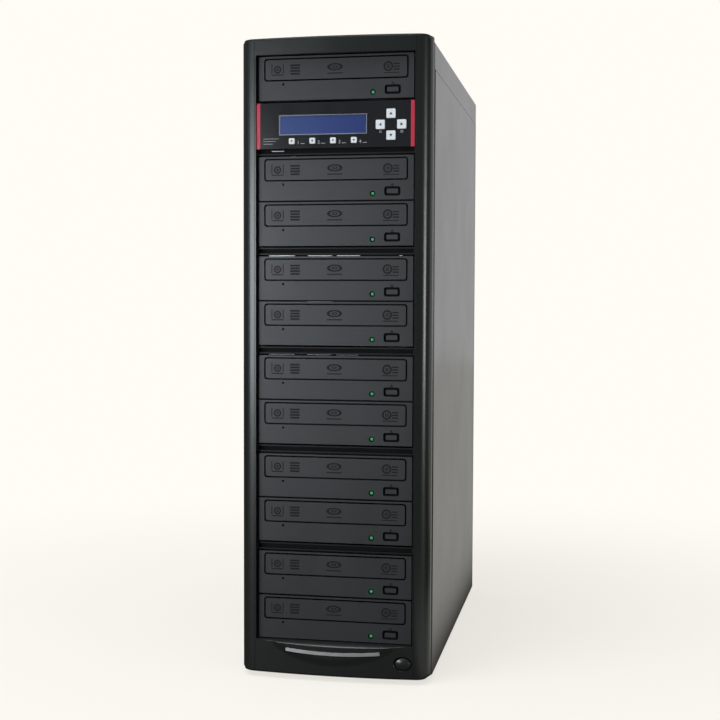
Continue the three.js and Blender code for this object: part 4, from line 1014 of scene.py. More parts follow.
# Backing behind the holes of the fascia, so that nothing shows through round the keys
def makeKeyMat():
    low = spot("control_unit")[0]
    window, size = middleOf("display")
    opening = plate(window.x, window.z, size.x + 1, size.z + 1, -over, 2 + over)
    half, near, far, bottom, top = 74, 0.05, 1.2, low.z + 1.5, low.z + 40
    mat = combine(block((-half, near, bottom), (half, far, top)), [opening])
    makePiece("key_mat", mat, blackAbsAndPaintedShade, main, "gloss_fascia", 0.2, 1)


def makeDisplay():
    look = controlLook
    low, high = spot("display")
    middle, size = middleOf("display")
    width, lap = look["rim"], 0.1
    opening = plate(middle.x, middle.z, size.x - 2 * width, size.z - 2 * width, low.y - over, high.y + over,
                    0.5)
    makePiece("display_rim", combine(block(low, high), [opening]), rimMetal, main, "display_glass", 0.2, 2,
              ["display"])
    pane = plate(middle.x, middle.z, size.x - 2 * (width - lap), size.z - 2 * (width - lap),
                 low.y + look["glassDeep"], high.y - 0.5)
    makePiece("display_pane", pane, displayGlass, main, "display_glass", 0.1, 1)


# Key caps with rounded shoulders, and a plain arrow printed on each
def makeKeys():
    turnsOf = {"key_up": 0, "key_down": 180, "key_left": 90, "key_right": -90}
    bigShare, smallShare, squat = 0.17, 0.2, 0.75
    for node in keyNodes:
        low, high = spot(node)
        middle, size = middleOf(node)
        cap = block(low, high, 1.0, "y", 5)
        makePiece(f"{node}_cap", cap, keyAbs, node, "key_plastic", 0.45, 4, [node])
        reach = size.x * (bigShare if node in turnsOf else smallShare)
        turn = math.radians(turnsOf.get(node, 180))
        mark = outline("xz", (-reach, -reach * squat), [(reach, -reach * squat), (0, reach)], -0.02, 0.05)
        mark.transform(Matrix.Translation((middle.x, low.y, middle.z)) @ Matrix.Rotation(-turn, 4, "Y"))
        makePiece(f"{node}_arrow", mark, markInk, node, "key_plastic", 0)


# A numeral as a thin print
def addNumeral(bm, text, size, place):
    curve = bpy.data.curves.new("numeral", "FONT")
    curve.body = text
    curve.size = size
    curve.extrude = 0.03
    curve.align_x = "CENTER"
    holder = bpy.data.objects.new("numeral", curve)
    scene.collection.objects.link(holder)
    mesh = bpy.data.meshes.new_from_object(holder.evaluated_get(bpy.context.evaluated_depsgraph_get()))
    bpy.data.curves.remove(curve)
    mesh.transform(Matrix.Translation(place) @ Matrix.Rotation(math.pi / 2, 4, "X"))
    bm.from_mesh(mesh)
    bpy.data.meshes.remove(mesh)


# Prints on the fascia: numbers with a short stroke beside the small keys, a cross and a ring under the side
# keys, and three strokes at the left end
def makeFasciaPrints():
    face, thin = -controlLook["thick"], 0.02
    bm = bmesh.new()
    for number in range(1, 5):
        middle, size = middleOf(f"key_small_{number}")
        right = middle.x + size.x / 2
        addNumeral(bm, str(number), 4.2, (right + 3.2, face, middle.z - 2.6))
        addBlock(bm, (right + 5.4, face - thin, middle.z - 2.5), (right + 9.4, face + thin, middle.z - 2.1))
    left, size = middleOf("key_left")
    below = left.z - size.z / 2 - 2.2
    for lean in (45, -45):
        addShape(bm, block((-1.4, -0.03, -0.2), (1.4, 0.03, 0.2)),
                 Matrix.Translation((left.x, face, below)) @ Matrix.Rotation(math.radians(lean), 4, "Y"))
    addShape(bm, ring((middleOf("key_right")[0].x, face, below), 1.25, 0.85, 0.06, "y", 32))
    low = spot("control_unit")[0]
    for row, length in enumerate((15, 12, 9)):
        z = low.z + 9.2 - 2.4 * row
        addBlock(bm, (-68.5, face - thin, z), (-68.5 + length, face + thin, z + 0.28))
    makePiece("fascia_prints", bm, paleInk, main, "gloss_fascia", 0)


# Board module behind the fascia: folded tray, board on posts, cooler, sockets and chips
def makeControlModule():
    look = controlLook
    low = look["bottom"] + look["trayUp"]
    top = low + look["trayHigh"]
    half, sheet, bend = look["trayHalf"], look["sheet"], look["trayBend"]
    tray = outline("xz", (-half, top), [
        (-half, low + bend), (-half + bend, low + bend, 90, 4), (half - bend, low),
        (half - bend, low + bend, 90, 4), (half, top), (half - sheet, top), (half - sheet, low + bend),
        (half - bend, low + bend, -90, 4),
        (-half + bend, low + sheet), (-half + bend, low + bend, -90, 4), (-half + sheet, top)],
        -0.3, look["trayEnd"])
    makePiece("control_tray", tray, cageZinc, main, "gloss_fascia", 0.15, 1)

    boardZ, boardHalf = low + look["boardUp"], half - sheet - look["boardMargin"]
    boardTop = boardZ + look["boardThick"]
    front, rear = look["boardFront"], look["trayEnd"] - look["boardMargin"]
    board = block((-boardHalf, front, boardZ), (boardHalf, rear, boardTop), 2, "z", 4)
    makePiece("control_board", board, boardGreen, main, "gloss_fascia", 0.1, 1)
    posts = bmesh.new()
    inset = look["postIn"]
    for x in (-boardHalf + inset, boardHalf - inset):
        for y in (front + inset, rear - inset):
            addRod(posts, (x, y, low + sheet + look["boardUp"] / 2 - 0.5), 3, look["boardUp"] - sheet + 1,
                   "z", 6)
            addRod(posts, (x, y, boardTop + 0.9), 2.6, 1.8, "z", 24)
    makePiece("control_posts", posts, screwNickel, main, "gloss_fascia", 0.2, 2)

    cooler = bmesh.new()
    reach, middle, fin = look["cooler"] / 2, (front + rear) / 2 - 3, look["finThick"]
    near, far = middle - reach, middle + reach
    addBlock(cooler, (-reach, near, boardTop), (reach, far, boardTop + 3))
    for index in range(look["fins"]):
        x = -reach + index * (look["cooler"] - fin) / (look["fins"] - 1)
        addBlock(cooler, (x, near, boardTop + 2.9), (x + fin, far, boardTop + look["coolerHigh"]))
    makePiece("control_cooler", cooler, coolerAlloy, main, "gloss_fascia", 0.15, 1)

    # Each socket is a floor, a roof, two sides, a back and a tongue: left, right, deep, back, low and high
    socket = ((-4, 4, 14, 0, 0, 1.4), (-4, 4, 14, 0, 8.6, 10), (-4, -2.8, 14, 0, 1.3, 8.7),
              (2.8, 4, 14, 0, 1.3, 8.7), (-3, 3, 13.9, 9, 1.3, 8.7), (-2.6, 2.6, 9.1, 1.5, 4.4, 5.6))
    parts = bmesh.new()
    for index in range(look["sockets"]):
        x = (index - (look["sockets"] - 1) / 2) * look["socketPitch"]
        for left, right, deep, back, z0, z1 in socket:
            addBlock(parts, (x + left, rear - deep, boardTop + z0), (x + right, rear - back, boardTop + z1))
    for x, y, wide, deep, tall in ((-46, 30, 20, 20, 2.2), (44, 34, 14, 20, 1.8), (46, 66, 18, 9, 2.4),
                                   (-45, 66, 12, 12, 1.6)):
        addBlock(parts, (x - wide / 2, y - deep / 2, boardTop), (x + wide / 2, y + deep / 2, boardTop + tall))
    makePiece("control_parts", parts, blackAbsAndPaintedShade, main, "gloss_fascia", 0.15, 1)
    cans = bmesh.new()
    for x, y in ((-24, 22), (-32, 78), (24, 20), (30, 80), (62, 50), (-62, 46)):
        addRod(cans, (x, y, boardTop + 4), 3.2, 8, "z", 24)
    makePiece("control_capacitors", cans, rimMetal, main, "gloss_fascia", 0.3, 2)


makeFascia()
makeKeyMat()
makeDisplay()
makeKeys()
makeFasciaPrints()
makeControlModule()
print("control unit ready")


# Steel case: base pan, rear wall with guard and vents, folded cover, side panels and their screws
caseLook = dict(
    sheet=1.0, bend=1.6, half=91.1, frameHalf=90.1, front=14.1, rearInside=399.0, rear=401.3, bottom=5.0,
    floorTop=6.2, top=599.75, coverBottom=574.75, joggleBottom=563.75, flangeTop=17.0, flangeFront=39.5,
    fanZ=325, guardHub=8, guardRings=4, guardBand=9, guardGap=3, spoke=5,
    ventRows=7, ventTop=565.75, ventPitch=10, ventHigh=3.5, ventNear=9, ventFar=55,
    windowHalf=69, windowLow=12.5, windowHigh=86.5, pressIn=10, pressDeep=0.25, pressWide=0.9,
    panelHem=89.1, panelFlange=75.4, seamLess=0.1, fanScrew=52.5,
    supplyScrews=((-72.5, 17), (72.5, 17), (-72.5, 84), (72.5, 84)), topScrews=((-70, 588), (70, 588)))
thumbLook = dict(shares=(0.12, 0.88), x=83.4, teeth=30, radius=5.9, toothDeep=0.5, near=1.2, far=6.4,
                 slotHigh=1.1, slotFrom=5.4, washer=5.2, washerThick=1.3)


# A head of a pan screw with its cross, standing on a rear face
def addScrew(bm, x, y, z, radius=3.6, tall=1.9):
    long, wide = radius * 1.1, radius * 0.26
    head = rod((0, 0, 0), radius * 0.82, tall, "y", 28, radius)
    head = combine(head, [plate(0, 0, long, wide, 0.1, 9), plate(0, 0, wide, long, 0.1, 9)])
    addShape(bm, rounded(head, 0.25), Matrix.Translation((x, y + tall / 2, z)))


# The line pressed into the sheet near the rear edge of a side
def addPress(bm, side, outer, bottom, top):
    look = caseLook
    near, far = sorted((side * (outer - look["pressDeep"]), side * (outer + 2)))
    start = look["rear"] - look["pressIn"]
    addBlock(bm, (near, start, bottom), (far, start + look["pressWide"], top))


# Rings cut through the rear wall, which leave the fan's guard of wires and spokes
def guardCuts(near, far):
    look = caseLook
    pitch, z = look["guardBand"] + look["guardGap"], look["fanZ"]
    reach, spoke = look["guardHub"] + look["guardRings"] * pitch, look["spoke"]
    cuts = bmesh.new()
    for index in range(look["guardRings"]):
        inner = look["guardHub"] + index * pitch
        band = combine(rod((0, look["rearInside"], z), inner + look["guardBand"], 6, "y", 96), [
            rod((0, look["rearInside"], z), inner, 9, "y", 96),
            plate(0, z, spoke, 2 * reach, near - 4, far + 4),
            plate(0, z, 2 * reach, spoke, near - 4, far + 4)])
        addShape(cuts, band)
    return cuts


def makeFrame():
    look = caseLook
    sheet, bend, half, inner, top = look["sheet"], look["bend"], look["half"], look["frameHalf"], look["top"]
    rear, inside, low = look["rear"], look["rearInside"], look["coverBottom"]
    pan = block((-inner, look["front"], look["bottom"]), (inner, inside + 0.2, look["floorTop"]))
    wall = block((-inner, inside, look["bottom"]), (inner, inside + sheet, top - 0.3))
    cover = outline("xz", (-half, low), [
        (-half + sheet, low), (-half + sheet, top - bend), (-half + bend, top - bend, -90, 5),
        (half - bend, top - sheet), (half - bend, top - bend, -90, 5), (half - sheet, low), (half, low),
        (half, top - bend), (half - bend, top - bend, 90, 6), (-half + bend, top),
        (-half + bend, top - bend, 90, 6)], look["front"], rear)
    strips, shelves = bmesh.new(), bmesh.new()
    for side in (-1, 1):
        for shape, out, z0, z1 in ((strips, inner, look["joggleBottom"], low + sheet / 2),
                                   (shelves, half - sheet / 2, low, low + sheet),
                                   (strips, inner, look["bottom"], look["flangeTop"])):
            near, far = sorted((side * (inner - sheet), side * out))
            addBlock(shape, (near, look["flangeFront"], z0), (far, inside + sheet, z1))
    shell = combine(pan, [wall, cover, shelves, strips], "UNION")

    near, far = inside - over, inside + sheet + over
    window = block((-look["windowHalf"], near, look["windowLow"]),
                   (look["windowHalf"], far, look["windowHigh"]), 2)
    vents, press = bmesh.new(), bmesh.new()
    ventMiddle, ventWide = (look["ventNear"] + look["ventFar"]) / 2, look["ventFar"] - look["ventNear"]
    for side in (-1, 1):
        addPress(press, side, half, low - 2, top - bend)
        for row in range(look["ventRows"]):
            z = look["ventTop"] - row * look["ventPitch"] - look["ventHigh"] / 2
            addShape(vents, plate(side * ventMiddle, z, ventWide, look["ventHigh"], near, far,
                                  look["ventHigh"] / 2 - 0.05))
    shell = combine(shell, [window, guardCuts(near, far), vents, press])

    # Painted shade on the seam over a side panel: the joggle behind it and the cover's cut edge above it are
    # unlit black
    def onJoggle(at, facing):
        outward = at.x * facing.x > 0 and abs(facing.x) > 0.9
        return outward and at.z > look["joggleBottom"] - 1 and abs(abs(at.x) - inner) < 0.1

    def onCutEdge(at, facing):
        return facing.z < -0.9 and abs(at.z - low) < 0.1 and abs(at.x) > inner - 0.2

    makePiece("case_frame", shell, coatedSteel, main, "painted_steel", 0.3, 2, ["outer_frame"],
              paints=[(blackAbsAndPaintedShade, onJoggle), (blackAbsAndPaintedShade, onCutEdge)])


# Screws of the fan, the supply and the cover, seen on the rear wall
def makeRearScrews():
    look = caseLook
    rear, reach = look["rearInside"] + look["sheet"], look["fanScrew"]
    bm = bmesh.new()
    for x in (-reach, reach):
        for z in (look["fanZ"] - reach, look["fanZ"] + reach):
            addScrew(bm, x, rear, z, 4.0, 2.1)
    for x, z in (*look["supplyScrews"], *look["topScrews"]):
        addScrew(bm, x, rear, z, 3.3)
    makePiece("rear_screws", bm, screwNickel, main, "painted_steel", 0)


# Knurled head with a slot
def thumbHead():
    look = thumbLook
    radius, root = look["radius"], look["radius"] - look["toothDeep"]
    points = []
    for tooth in range(look["teeth"]):
        for part, reach in ((0.0, radius), (0.35, radius), (0.5, root), (0.85, root)):
            angle = math.tau * (tooth + part) / look["teeth"]
            points.append((reach * math.cos(angle), reach * math.sin(angle)))
    knurl = outline("xz", points[0], points[1:], look["near"], look["far"])
    return rounded(combine(knurl, [plate(0, 0, 14, look["slotHigh"], look["slotFrom"], 9)]), 0.2, 2, 60)


# Side panels: a plan with folded front edge, flat skin and rear flange, carried up; and their thumb screws
def makeSidePanels():
    look, thumb = caseLook, thumbLook
    sheet, bend, rear = look["sheet"], look["bend"], look["rear"]
    hem, flange = look["panelHem"], look["panelFlange"]
    for side, word in ((1, "right"), (-1, "left")):
        node = f"side_panel_{word}"
        low, high = spot(node)
        outer = max(abs(low.x), abs(high.x))
        fold, front = outer - bend, low.y
        panel = outline("xy", (hem, front), [
            (fold, front), (fold, front + bend, 90, 6), (outer, rear - bend), (fold, rear - bend, 90, 6),
            (flange, rear), (flange, rear - sheet), (fold, rear - sheet), (fold, rear - bend, -90, 6),
            (outer - sheet, front + bend), (fold, front + bend, -90, 6), (hem, front + sheet)],
            low.z, high.z + look["seamLess"])
        if side < 0:
            panel.transform(Matrix.Diagonal((-1, 1, 1, 1)))
            bmesh.ops.reverse_faces(panel, faces=panel.faces[:])
        press = bmesh.new()
        addPress(press, side, outer, low.z - 2, high.z + 2)
        panel = combine(panel, [press])
        makePiece(node + "_sheet", panel, coatedSteel, node, "painted_steel", 0.3, 3, [node])
        screws = bmesh.new()
        for share in thumb["shares"]:
            x, z = side * thumb["x"], low.z + (high.z - low.z) * share
            addShape(screws, thumbHead(), Matrix.Translation((x, rear, z)))
            thick = thumb["washerThick"]
            addRod(screws, (x, rear + thick / 2, z), thumb["washer"], thick, "y", 40)
        makePiece(node + "_screws", screws, screwNickel, node, "painted_steel", 0)


# Cage that carries the drives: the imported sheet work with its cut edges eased, and its screws
def makeCage():
    makePiece("cage_sheets", nodeShape("drive_cage"), cageZinc, main, "zinc_steel", 0.15, 1, ["drive_cage"])
    bm = bmesh.new()
    for label in driveLabels:
        low = spot(f"drive_{label}")[0]
        for side in (-1, 1):
            for y in (30, 150):
                addRod(bm, (side * 74.8, y, low.z + 21), 3, 1.2, "x", 20)
    makePiece("cage_screws", bm, screwNickel, main, "zinc_steel", 0.3, 2)


makeFrame()
makeRearScrews()
makeSidePanels()
makeCage()
print("case ready")


# Paint of the supply: dark grey, dull, a shade lighter than what is round it
supplyPaint = mouldedPlastic("grey_supply_paint", "#2a2b2d", "#2f3032", clouds=40, rough=(0.42, 0.05),
                             grain=(0.7, 0.012), wipe=30)
# Fan: black glass-filled nylon with a soft sheen
fanPlastic = mouldedPlastic("black_fan_nylon", "#151617", "#1b1c1e", clouds=14, rough=(0.4, 0.06),
                            grain=(0.6, 0.012), wipe=20)
# Pins of the mains inlet: nickelled brass, warm and bright
pinBrass = brushedMetal("nickelled_brass_pin", "#a79a78", "#c2b48e", 0.5, (1, 0.08, 1), 0.002, 0.25)
# Sleeves of the leads: yellow for power, red for data
leadYellow = mouldedPlastic("yellow_lead_sleeve", "#a08c2a", "#b09a32", clouds=12, rough=(0.45, 0.05),
                            grain=(0.6, 0.01), wipe=10)
leadRed = mouldedPlastic("red_data_lead", "#83201f", "#922a28", clouds=12, rough=(0.4, 0.05),
                         grain=(0.6, 0.01), wipe=10)

supplyLook = dict(
    ventX=-60, ventZ=22, ventPitch=6.2, ventRadius=2.3, ventDeep=1.5, ventColumns=14, ventRows=10,
    ventBox=(-66, 28, 16, 92), inletX=48, inletZ=68.5, inletWide=25, inletHigh=17, inletDeep=15,
    rockerX=48, rockerZ=36.5, rockerWide=13.4, rockerHigh=19.2, rockerDeep=8,
    guardRings=6, guardFirst=14, guardPitch=8, guardWire=1.1)
fanLook = dict(
    rear=398.7, z=325, half=60, front=373.7, corner=5, waistIn=9, waistFrom=4, screwAt=52.5, bore=57, hub=20,
    strutWide=4.6, strutThick=3, pinRadius=2.5, pinLong=15,
    rotor=55.5, blades=7, rotorY=386.0, hubLong=18, hubWall=2.2, bladeRoot=0.6, bladeArcShare=0.94,
    bladeLift=14, bladeSweep=16, bladeCamber=1.6, bladeThick=1.5, bladeSteps=10)


def makeSupply():
    look = supplyLook
    low, high = spot("power_supply")
    rear = high.y
    inlet = (look["inletX"], look["inletZ"])
    switch = (look["rockerX"], look["rockerZ"])
    switchHole = (look["rockerWide"], look["rockerHigh"])
    vents = bmesh.new()
    for column in range(look["ventColumns"]):
        odd = column % 2
        for row in range(look["ventRows"] - odd):
            x, z = column * look["ventPitch"], (row * 1.1 + odd * 0.55) * look["ventPitch"]
            addRod(vents, (look["ventX"] + x, rear, look["ventZ"] + z), look["ventRadius"],
                   2 * look["ventDeep"], "y", 6)
    box = combine(block(low, high), [
        plate(*inlet, look["inletWide"], look["inletHigh"], rear - look["inletDeep"], rear + over, 2),
        plate(*switch, *switchHole, rear - look["rockerDeep"], rear + over), vents])
    left, right, bottom, top = look["ventBox"]

    # Painted shade: the floors of the blind vent holes are unlit black
    def inVents(at, facing):
        sunk = rear - look["ventDeep"] - 0.05 < at.y < rear - 0.4
        return sunk and left < at.x < right and bottom < at.z < top

    makePiece("supply_box", box, supplyPaint, main, "supply_shell", 0.35, 2, ["power_supply"],
              paints=[(blackAbsAndPaintedShade, inVents)])

    # Black surrounds of the mains inlet and of the switch, and the inlet's three pins
    opening = plate(*inlet, look["inletWide"] - 1.2, look["inletHigh"] - 1.2, rear - over, rear + 2 * over, 3)
    surrounds = combine(plate(*inlet, 32, 24, rear, rear + 1.6, 3, 5), [opening])
    addShape(surrounds, combine(plate(*switch, 20, 26, rear, rear + 1.0, 2, 4), [
        plate(*switch, *switchHole, rear - over, rear + 2 * over)]))
    makePiece("supply_surrounds", surrounds, blackAbsAndPaintedShade, main, "supply_shell", 0.3, 2)
    pins = bmesh.new()
    for x, z in ((0, 3.5), (-7, -1.75), (7, -1.75)):
        addShape(pins, plate(inlet[0] + x, inlet[1] + z, 2, 4, rear - look["inletDeep"] - 0.2, rear - 2,
                             0.4, 2))
    makePiece("inlet_pins", pins, pinBrass, main, "supply_shell", 0.3, 2)

    # Wire rings of the guard over the supply's own fan, on its top
    guard = bmesh.new()
    for index in range(look["guardRings"]):
        radius = look["guardFirst"] + index * look["guardPitch"]
        addShape(guard, ring((0, (low.y + high.y) / 2, high.z), radius + look["guardWire"],
                             radius - look["guardWire"], 1.4, "z", 72))
    makePiece("supply_guard", guard, screwNickel, main, "supply_shell", 0.3, 2)


# Rocker with rounded shoulders, a line on its pressed half and a ring on the other
def makeRocker():
    makePiece("rocker_cap", nodeShape("power_rocker"), buttonAbs, "power_rocker", "black_plastic", 0.5, 3,
              ["power_rocker"], angle=25)
    long, deep, share = 8.6, 1.6, 0.55
    lean = math.atan2(deep, long)
    line = block((-0.35, -0.03, -1.9), (0.35, 0.03, 1.9))
    marks = bmesh.new()
    for mark, way in ((line, 1), (ring((0, 0, 0), 1.9, 1.3, 0.06, "y", 40), -1)):
        at = Matrix.Translation((0, 1.0 + deep * share, way * long * share))
        addShape(marks, mark, at @ Matrix.Rotation(-way * lean, 4, "X"))
    pivot = Matrix.Translation((supplyLook["rockerX"], 397.7, supplyLook["rockerZ"]))
    marks.transform(pivot @ Matrix.Rotation(math.radians(10), 4, "X"))
    makePiece("rocker_marks", marks, paleInk, "power_rocker", "black_plastic", 0)


def makeFan():
    look = fanLook
    half, front, rear, z, hub = look["half"], look["front"], look["rear"], look["z"], look["hub"]
    middle, cut, thick, wide = (front + rear) / 2, look["waistIn"], look["strutThick"], look["strutWide"] / 2
    waist, struts = bmesh.new(), bmesh.new()
    for x in (-1, 1):
        for up in (-1, 1):
            addShape(waist, plate(x * half, z + up * half, 2 * cut, 2 * cut, front + look["waistFrom"],
                                  rear - look["waistFrom"]))
            addRod(waist, (x * look["screwAt"], middle, z + up * look["screwAt"]), 2.2, 40, "y", 24)
    for turn in range(4):
        addShape(struts, block((16, front, -wide), (look["bore"] + 1, front + thick, wide), 1.4, "x", 3),
                 Matrix.Translation((0, 0, z)) @ Matrix.Rotation(math.radians(90 * turn), 4, "Y"))
    seat = rod((0, front + thick / 2, z), hub, thick, "y", 64)
    pin = rod((0, front + look["pinLong"] / 2, z), look["pinRadius"], look["pinLong"], "y", 24)
    shell = combine(block((-half, front, z - half), (half, rear, z + half), look["corner"]), [
        waist, rod((0, middle, z), look["bore"], 60, "y", 128)])
    shell = combine(shell, [struts, seat, pin], "UNION")
    makePiece("fan_shell", shell, fanPlastic, main, "black_plastic", 0.4, 2, ["fan_frame"])


# One blade: rows of points from root to tip that sweep, flatten and bow, under a closed skin
def bladeShape(start):
    look = fanLook
    count, root = look["bladeSteps"], look["hub"] - look["bladeRoot"]
    arc = look["bladeArcShare"] * math.tau / look["blades"]
    sections = []
    for i in range(count + 1):
        share = i / count
        radius = root + (look["rotor"] - root) * share
        lift = look["bladeLift"] * (1 - 0.15 * share)
        sweep = math.radians(look["bladeSweep"] * share + start)
        row = []
        for run in [j / count - 0.5 for j in range(count + 1)]:
            angle = sweep + run * arc
            depth = look["rotorY"] + run * lift - look["bladeCamber"] * (1 - 4 * run * run)
            row.append((radius * math.cos(angle), depth, look["z"] + radius * math.sin(angle)))
        near, far = ([(x, y + way * look["bladeThick"] / 2, z) for x, y, z in row] for way in (-1, 1))
        sections.append(near + far[::-1])
    return skin(sections, strips=True)


# Rotor: a cupped hub with soft edges, and its blades
def makeRotor():
    look = fanLook
    y, z, hub, long = look["rotorY"], look["z"], look["hub"], look["hubLong"]
    rotor = combine(rod((0, y, z), hub, long, "y", 64), [
        rod((0, y - long / 2, z), hub - look["hubWall"], 2 * (long - 2.5), "y", 64)])
    rotor = rounded(rotor, 1.2, 4)
    for blade in range(look["blades"]):
        addShape(rotor, bladeShape(360 * blade / look["blades"]))
    makePiece("rotor_blades", rotor, fanPlastic, "fan_rotor", "black_plastic", 0, replaces=["fan_rotor"])


makeSupply()
makeRocker()
makeFan()
makeRotor()
print("rear fittings ready")


# Wiring: a sleeved trunk with clips, and a branch of leads with a plug for each unit
harnessLook = dict(
    trunkY=212, radius=4.9, feedTo=258.4, feedZ=72.5, plugUp=12.25, driveRear=169.5, plugSlip=0.3,
    plugLong=12, clips=12, clipEnd=14, spread=0.7, lead=1.0)


def makeHarness(node, x, wide, leads, leadMaterial, slot):
    look = harnessLook
    trunkY, radius, feed = look["trunkY"], look["radius"], look["feedTo"]
    units = [(spot(f"drive_{label}")[0].z - faceGap, look["driveRear"]) for label in driveLabels]
    units.append((controlLook["bottom"], controlLook["trayEnd"]))
    heights = [bottom + look["plugUp"] for bottom, rear in units]
    top, base = max(heights) + radius, min(heights) - radius
    trunk = rod((x, trunkY, (top + base) / 2), radius, top - base, "z", 28)
    if node == "power_harness":
        addRod(trunk, (x, (trunkY + feed) / 2, look["feedZ"]), radius, feed - trunkY, "y", 28)
    makePiece(node + "_trunk", trunk, footRubber, main, slot, 0.4, 2, [node])
    clips, wires, plugs = bmesh.new(), bmesh.new(), bmesh.new()
    for index in range(look["clips"]):
        z = base + look["clipEnd"] + index * (top - base - 2 * look["clipEnd"]) / (look["clips"] - 1)
        addRod(clips, (x, trunkY, z), radius + 0.5, 2.6, "z", 28)
        addBlock(clips, (x + radius, trunkY - 1.6, z - 1.4), (x + radius + 3, trunkY + 1.6, z + 1.4))
    makePiece(node + "_ties", clips, blackAbsAndPaintedShade, main, slot, 0.2, 1)
    for (bottom, rear), z in zip(units, heights):
        front = rear + look["plugSlip"]
        addShape(plugs, plate(x, z, wide, 9, front, front + look["plugLong"], 1.2, 3))
        addShape(plugs, plate(x, z, wide + 1.2, 6.4, front + 2, front + 7))
        for lead in range(leads):
            share = lead / (leads - 1)
            first = Vector((x + wide * look["spread"] * (share - 0.5), front + look["plugLong"] - 1, z))
            last = Vector((x + radius * (1.2 * share - 0.6), trunkY, z))
            turn = (last - first).to_track_quat("Z", "Y").to_matrix().to_4x4()
            addShape(wires, rod((0, 0, 0), look["lead"], (last - first).length, "z", 10),
                     Matrix.Translation((first + last) / 2) @ turn)
    makePiece(node + "_plugs", plugs, blackAbsAndPaintedShade, main, slot, 0.3, 2)
    makePiece(node + "_leads", wires, leadMaterial, main, slot, 0)


# Rubber feet with their sunk screws
def makeFeet():
    look = dict(low=12, high=14, hole=4, screw=3.2, screwUp=2.6, screwTall=1.4)
    for node in ("foot_front_left", "foot_front_right", "foot_rear_left", "foot_rear_right"):
        low = spot(node)[0]
        middle, size = middleOf(node)
        pad = rod(middle, look["low"], size.z, "z", 64, look["high"])
        pad = combine(pad, [rod((middle.x, middle.y, low.z), look["hole"], 4, "z", 32)])
        makePiece(node + "_pad", pad, footRubber, main, "foot_rubber", 0.7, 4, [node])
        screw = rod((middle.x, middle.y, low.z + look["screwUp"]), look["screw"], look["screwTall"], "z", 24)
        makePiece(node + "_screw", screw, screwNickel, main, "foot_rubber", 0.3, 2)


makeHarness("power_harness", 46, 24, 4, leadYellow, "wire_power")
makeHarness("data_harness", -46, 14, 3, leadRed, "wire_data")
makeFeet()
print("wiring and feet ready")


# Camera of the photograph: its place in metres in the frame, its turn in degrees and its lens
view = dict(place=(0.24664, -1.37439, 0.36198), turn=(87.251, -0.198, 10.734), lens=64.02)
cameraData = bpy.data.cameras.new("photo_camera")
cameraData.lens = view["lens"]
cameraData.sensor_width = 36
cameraData.clip_start = 0.05
camera = bpy.data.objects.new("photo_camera", cameraData)
camera.location = view["place"]
camera.rotation_euler = [math.radians(a) for a in view["turn"]]
scene.collection.objects.link(camera)
scene.camera = camera


def mathNode(tree, kind, one, other):
    return addNode(tree, "ShaderNodeMath", {"operation": kind}, {0: one, 1: other}).outputs[0]


# Floor: pale to the camera, keeps the shadow near the tower and runs out into the plain background. Painted
# reflection and shade: in what the tower mirrors and in the light it throws back it is brown, and in what the
# tower mirrors it glows pale behind on the right a little away from the foot
def makeFloor():
    look = dict(size=12, shade="#f8f5ee", mirrored="#4c4630", clear="#fffcf5", pale="#bab9b3",
                fade=(0.7, 1.0, 0.12, 1.0), edge=(0.085, 0.135), front=(-0.75, -0.3), aside=(0.3, 0.5),
                behind=(0.2, 0.5))
    bm = bmesh.new()
    bmesh.ops.create_grid(bm, x_segments=1, y_segments=1, size=look["size"] / 2)
    floor = asObject(bm, "floor")
    material, tree, shader, place = startMaterial("pale_floor_painted_reflection", {"Roughness": 0.8, "Specular IOR Level": 0.1})
    path = addNode(tree, "ShaderNodeLightPath").outputs
    seen, glossy = path["Is Camera Ray"], path["Is Glossy Ray"]
    distance = addNode(tree, "ShaderNodeVectorMath", {"operation": "LENGTH"}, {0: place}).outputs["Value"]
    parts = addNode(tree, "ShaderNodeSeparateXYZ", {}, {0: place}).outputs
    # Painted reflection and shade: the floor is pale to the camera and brown to every other ray
    tree.links.new(tinted(tree, seen, look["mirrored"], look["shade"]), shader.inputs["Base Color"])

    def rising(axis, name):
        return ranged(tree, parts[axis], 0, 1, *look[name], "SMOOTHSTEP")

    # Painted reflection: a pale glow that only glossy rays see, right of the tower and behind it, a little
    # away from the foot
    near = addNode(tree, "ShaderNodeMath", {"operation": "SUBTRACT", 0: 1.0}, {1: rising("X", "aside")})
    back = mathNode(tree, "MAXIMUM", near.outputs[0], rising("Y", "behind"))
    paintedReflectionZone = mathNode(tree, "MULTIPLY", rising("X", "edge"), rising("Y", "front"))
    paintedReflectionZone = mathNode(tree, "MULTIPLY", mathNode(tree, "MULTIPLY", paintedReflectionZone, back), glossy)
    fade = mathNode(tree, "MULTIPLY", ranged(tree, distance, *look["fade"], "SMOOTHSTEP"), seen)
    share = mathNode(tree, "ADD", fade, paintedReflectionZone)
    glow = addNode(tree, "ShaderNodeEmission", {"Strength": 1.0}, {
        "Color": tinted(tree, seen, look["pale"], look["clear"])})
    mix = addNode(tree, "ShaderNodeMixShader", {}, {0: share, 1: shader.outputs[0], 2: glow.outputs[0]})
    out = [n for n in tree.nodes if n.type == "OUTPUT_MATERIAL"][0]
    tree.links.new(mix.outputs[0], out.inputs[0])
    floor.data.materials.append(material)


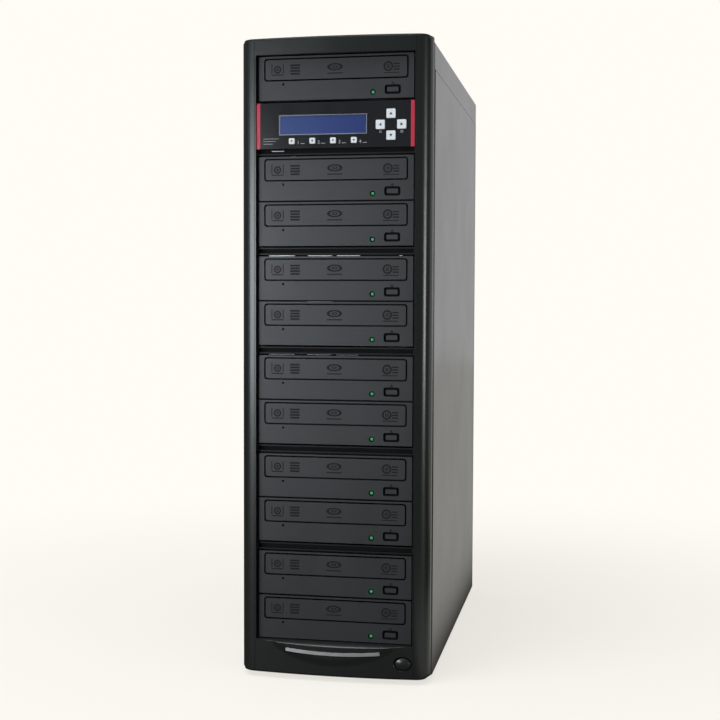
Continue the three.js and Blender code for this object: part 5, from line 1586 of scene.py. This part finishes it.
# World: the white room of the photograph as the camera sees it. What the tower mirrors of it is dim in front,
# pale behind on the right and in between on the left
def makeWorld():
    look = dict(seen="#fffcf5", front=0.13, left=0.12, right=0.6, behind=(0.25, 0.6), across=(-0.3, 0.0),
                light=0.42)
    world = bpy.data.worlds.new("white_room")
    world.use_nodes = True
    tree = world.node_tree
    tree.nodes.clear()
    direction = addNode(tree, "ShaderNodeTexCoord").outputs["Generated"]
    parts = addNode(tree, "ShaderNodeSeparateXYZ", {}, {0: direction}).outputs
    behind = ranged(tree, parts["Y"], 0, 1, *look["behind"], "SMOOTHSTEP")
    pale = ranged(tree, parts["X"], look["left"], look["right"], *look["across"], "SMOOTHSTEP")

    def blend(share, still, other):
        mix = addNode(tree, "ShaderNodeMix", {"data_type": "FLOAT", 2: still}, {0: share, 3: other})
        return mix.outputs[0]

    tone = blend(behind, look["front"], pale)
    path = addNode(tree, "ShaderNodeLightPath").outputs
    mirrored = mathNode(tree, "MAXIMUM", path["Is Glossy Ray"], path["Is Transmission Ray"])
    around = addNode(tree, "ShaderNodeBackground", {"Color": (1, 1, 1, 1)}, {
        "Strength": blend(mirrored, look["light"], tone)})
    seen = addNode(tree, "ShaderNodeBackground", {"Color": hexColour(look["seen"]), "Strength": 1.0})
    mix = addNode(tree, "ShaderNodeMixShader", {}, {
        0: path["Is Camera Ray"], 1: around.outputs[0], 2: seen.outputs[0]})
    addNode(tree, "ShaderNodeOutputWorld", {}, {0: mix.outputs[0]})
    scene.world = world


# Soft boxes: bearing in degrees to the right of straight in front of the tower; distance, height and size in
# metres; power in watts
softBoxes = {
    "left_box": dict(bearing=-33, away=2.3, up=0.43, size=(1.35, 0.62), power=24.4, tint=(0.9, 0.945, 1.0)),
    "right_strip": dict(bearing=56, away=2.4, up=0.42, size=(0.5, 0.62), power=11, tint=(0.96, 0.98, 1.0)),
    "top_box": dict(bearing=-22, away=1.1, up=2.2, size=(1.6, 1.0), power=26, tint=(0.95, 0.975, 1.0)),
}


def makeLights():
    aim = Vector((0, -0.1, 0.33))
    for name, box in softBoxes.items():
        data = bpy.data.lights.new(name, "AREA")
        data.shape = "RECTANGLE"
        data.size, data.size_y = box["size"]
        data.energy = box["power"]
        data.color = box["tint"]
        lamp = bpy.data.objects.new(name, data)
        bearing = math.radians(box["bearing"])
        lamp.location = (box["away"] * math.sin(bearing), -box["away"] * math.cos(bearing), box["up"])
        lamp.rotation_euler = (aim - lamp.location).to_track_quat("-Z", "Y").to_euler()
        scene.collection.objects.link(lamp)


makeFloor()
makeWorld()
makeLights()
scene.view_settings.view_transform = "Standard"
print("camera, floor and lights ready")
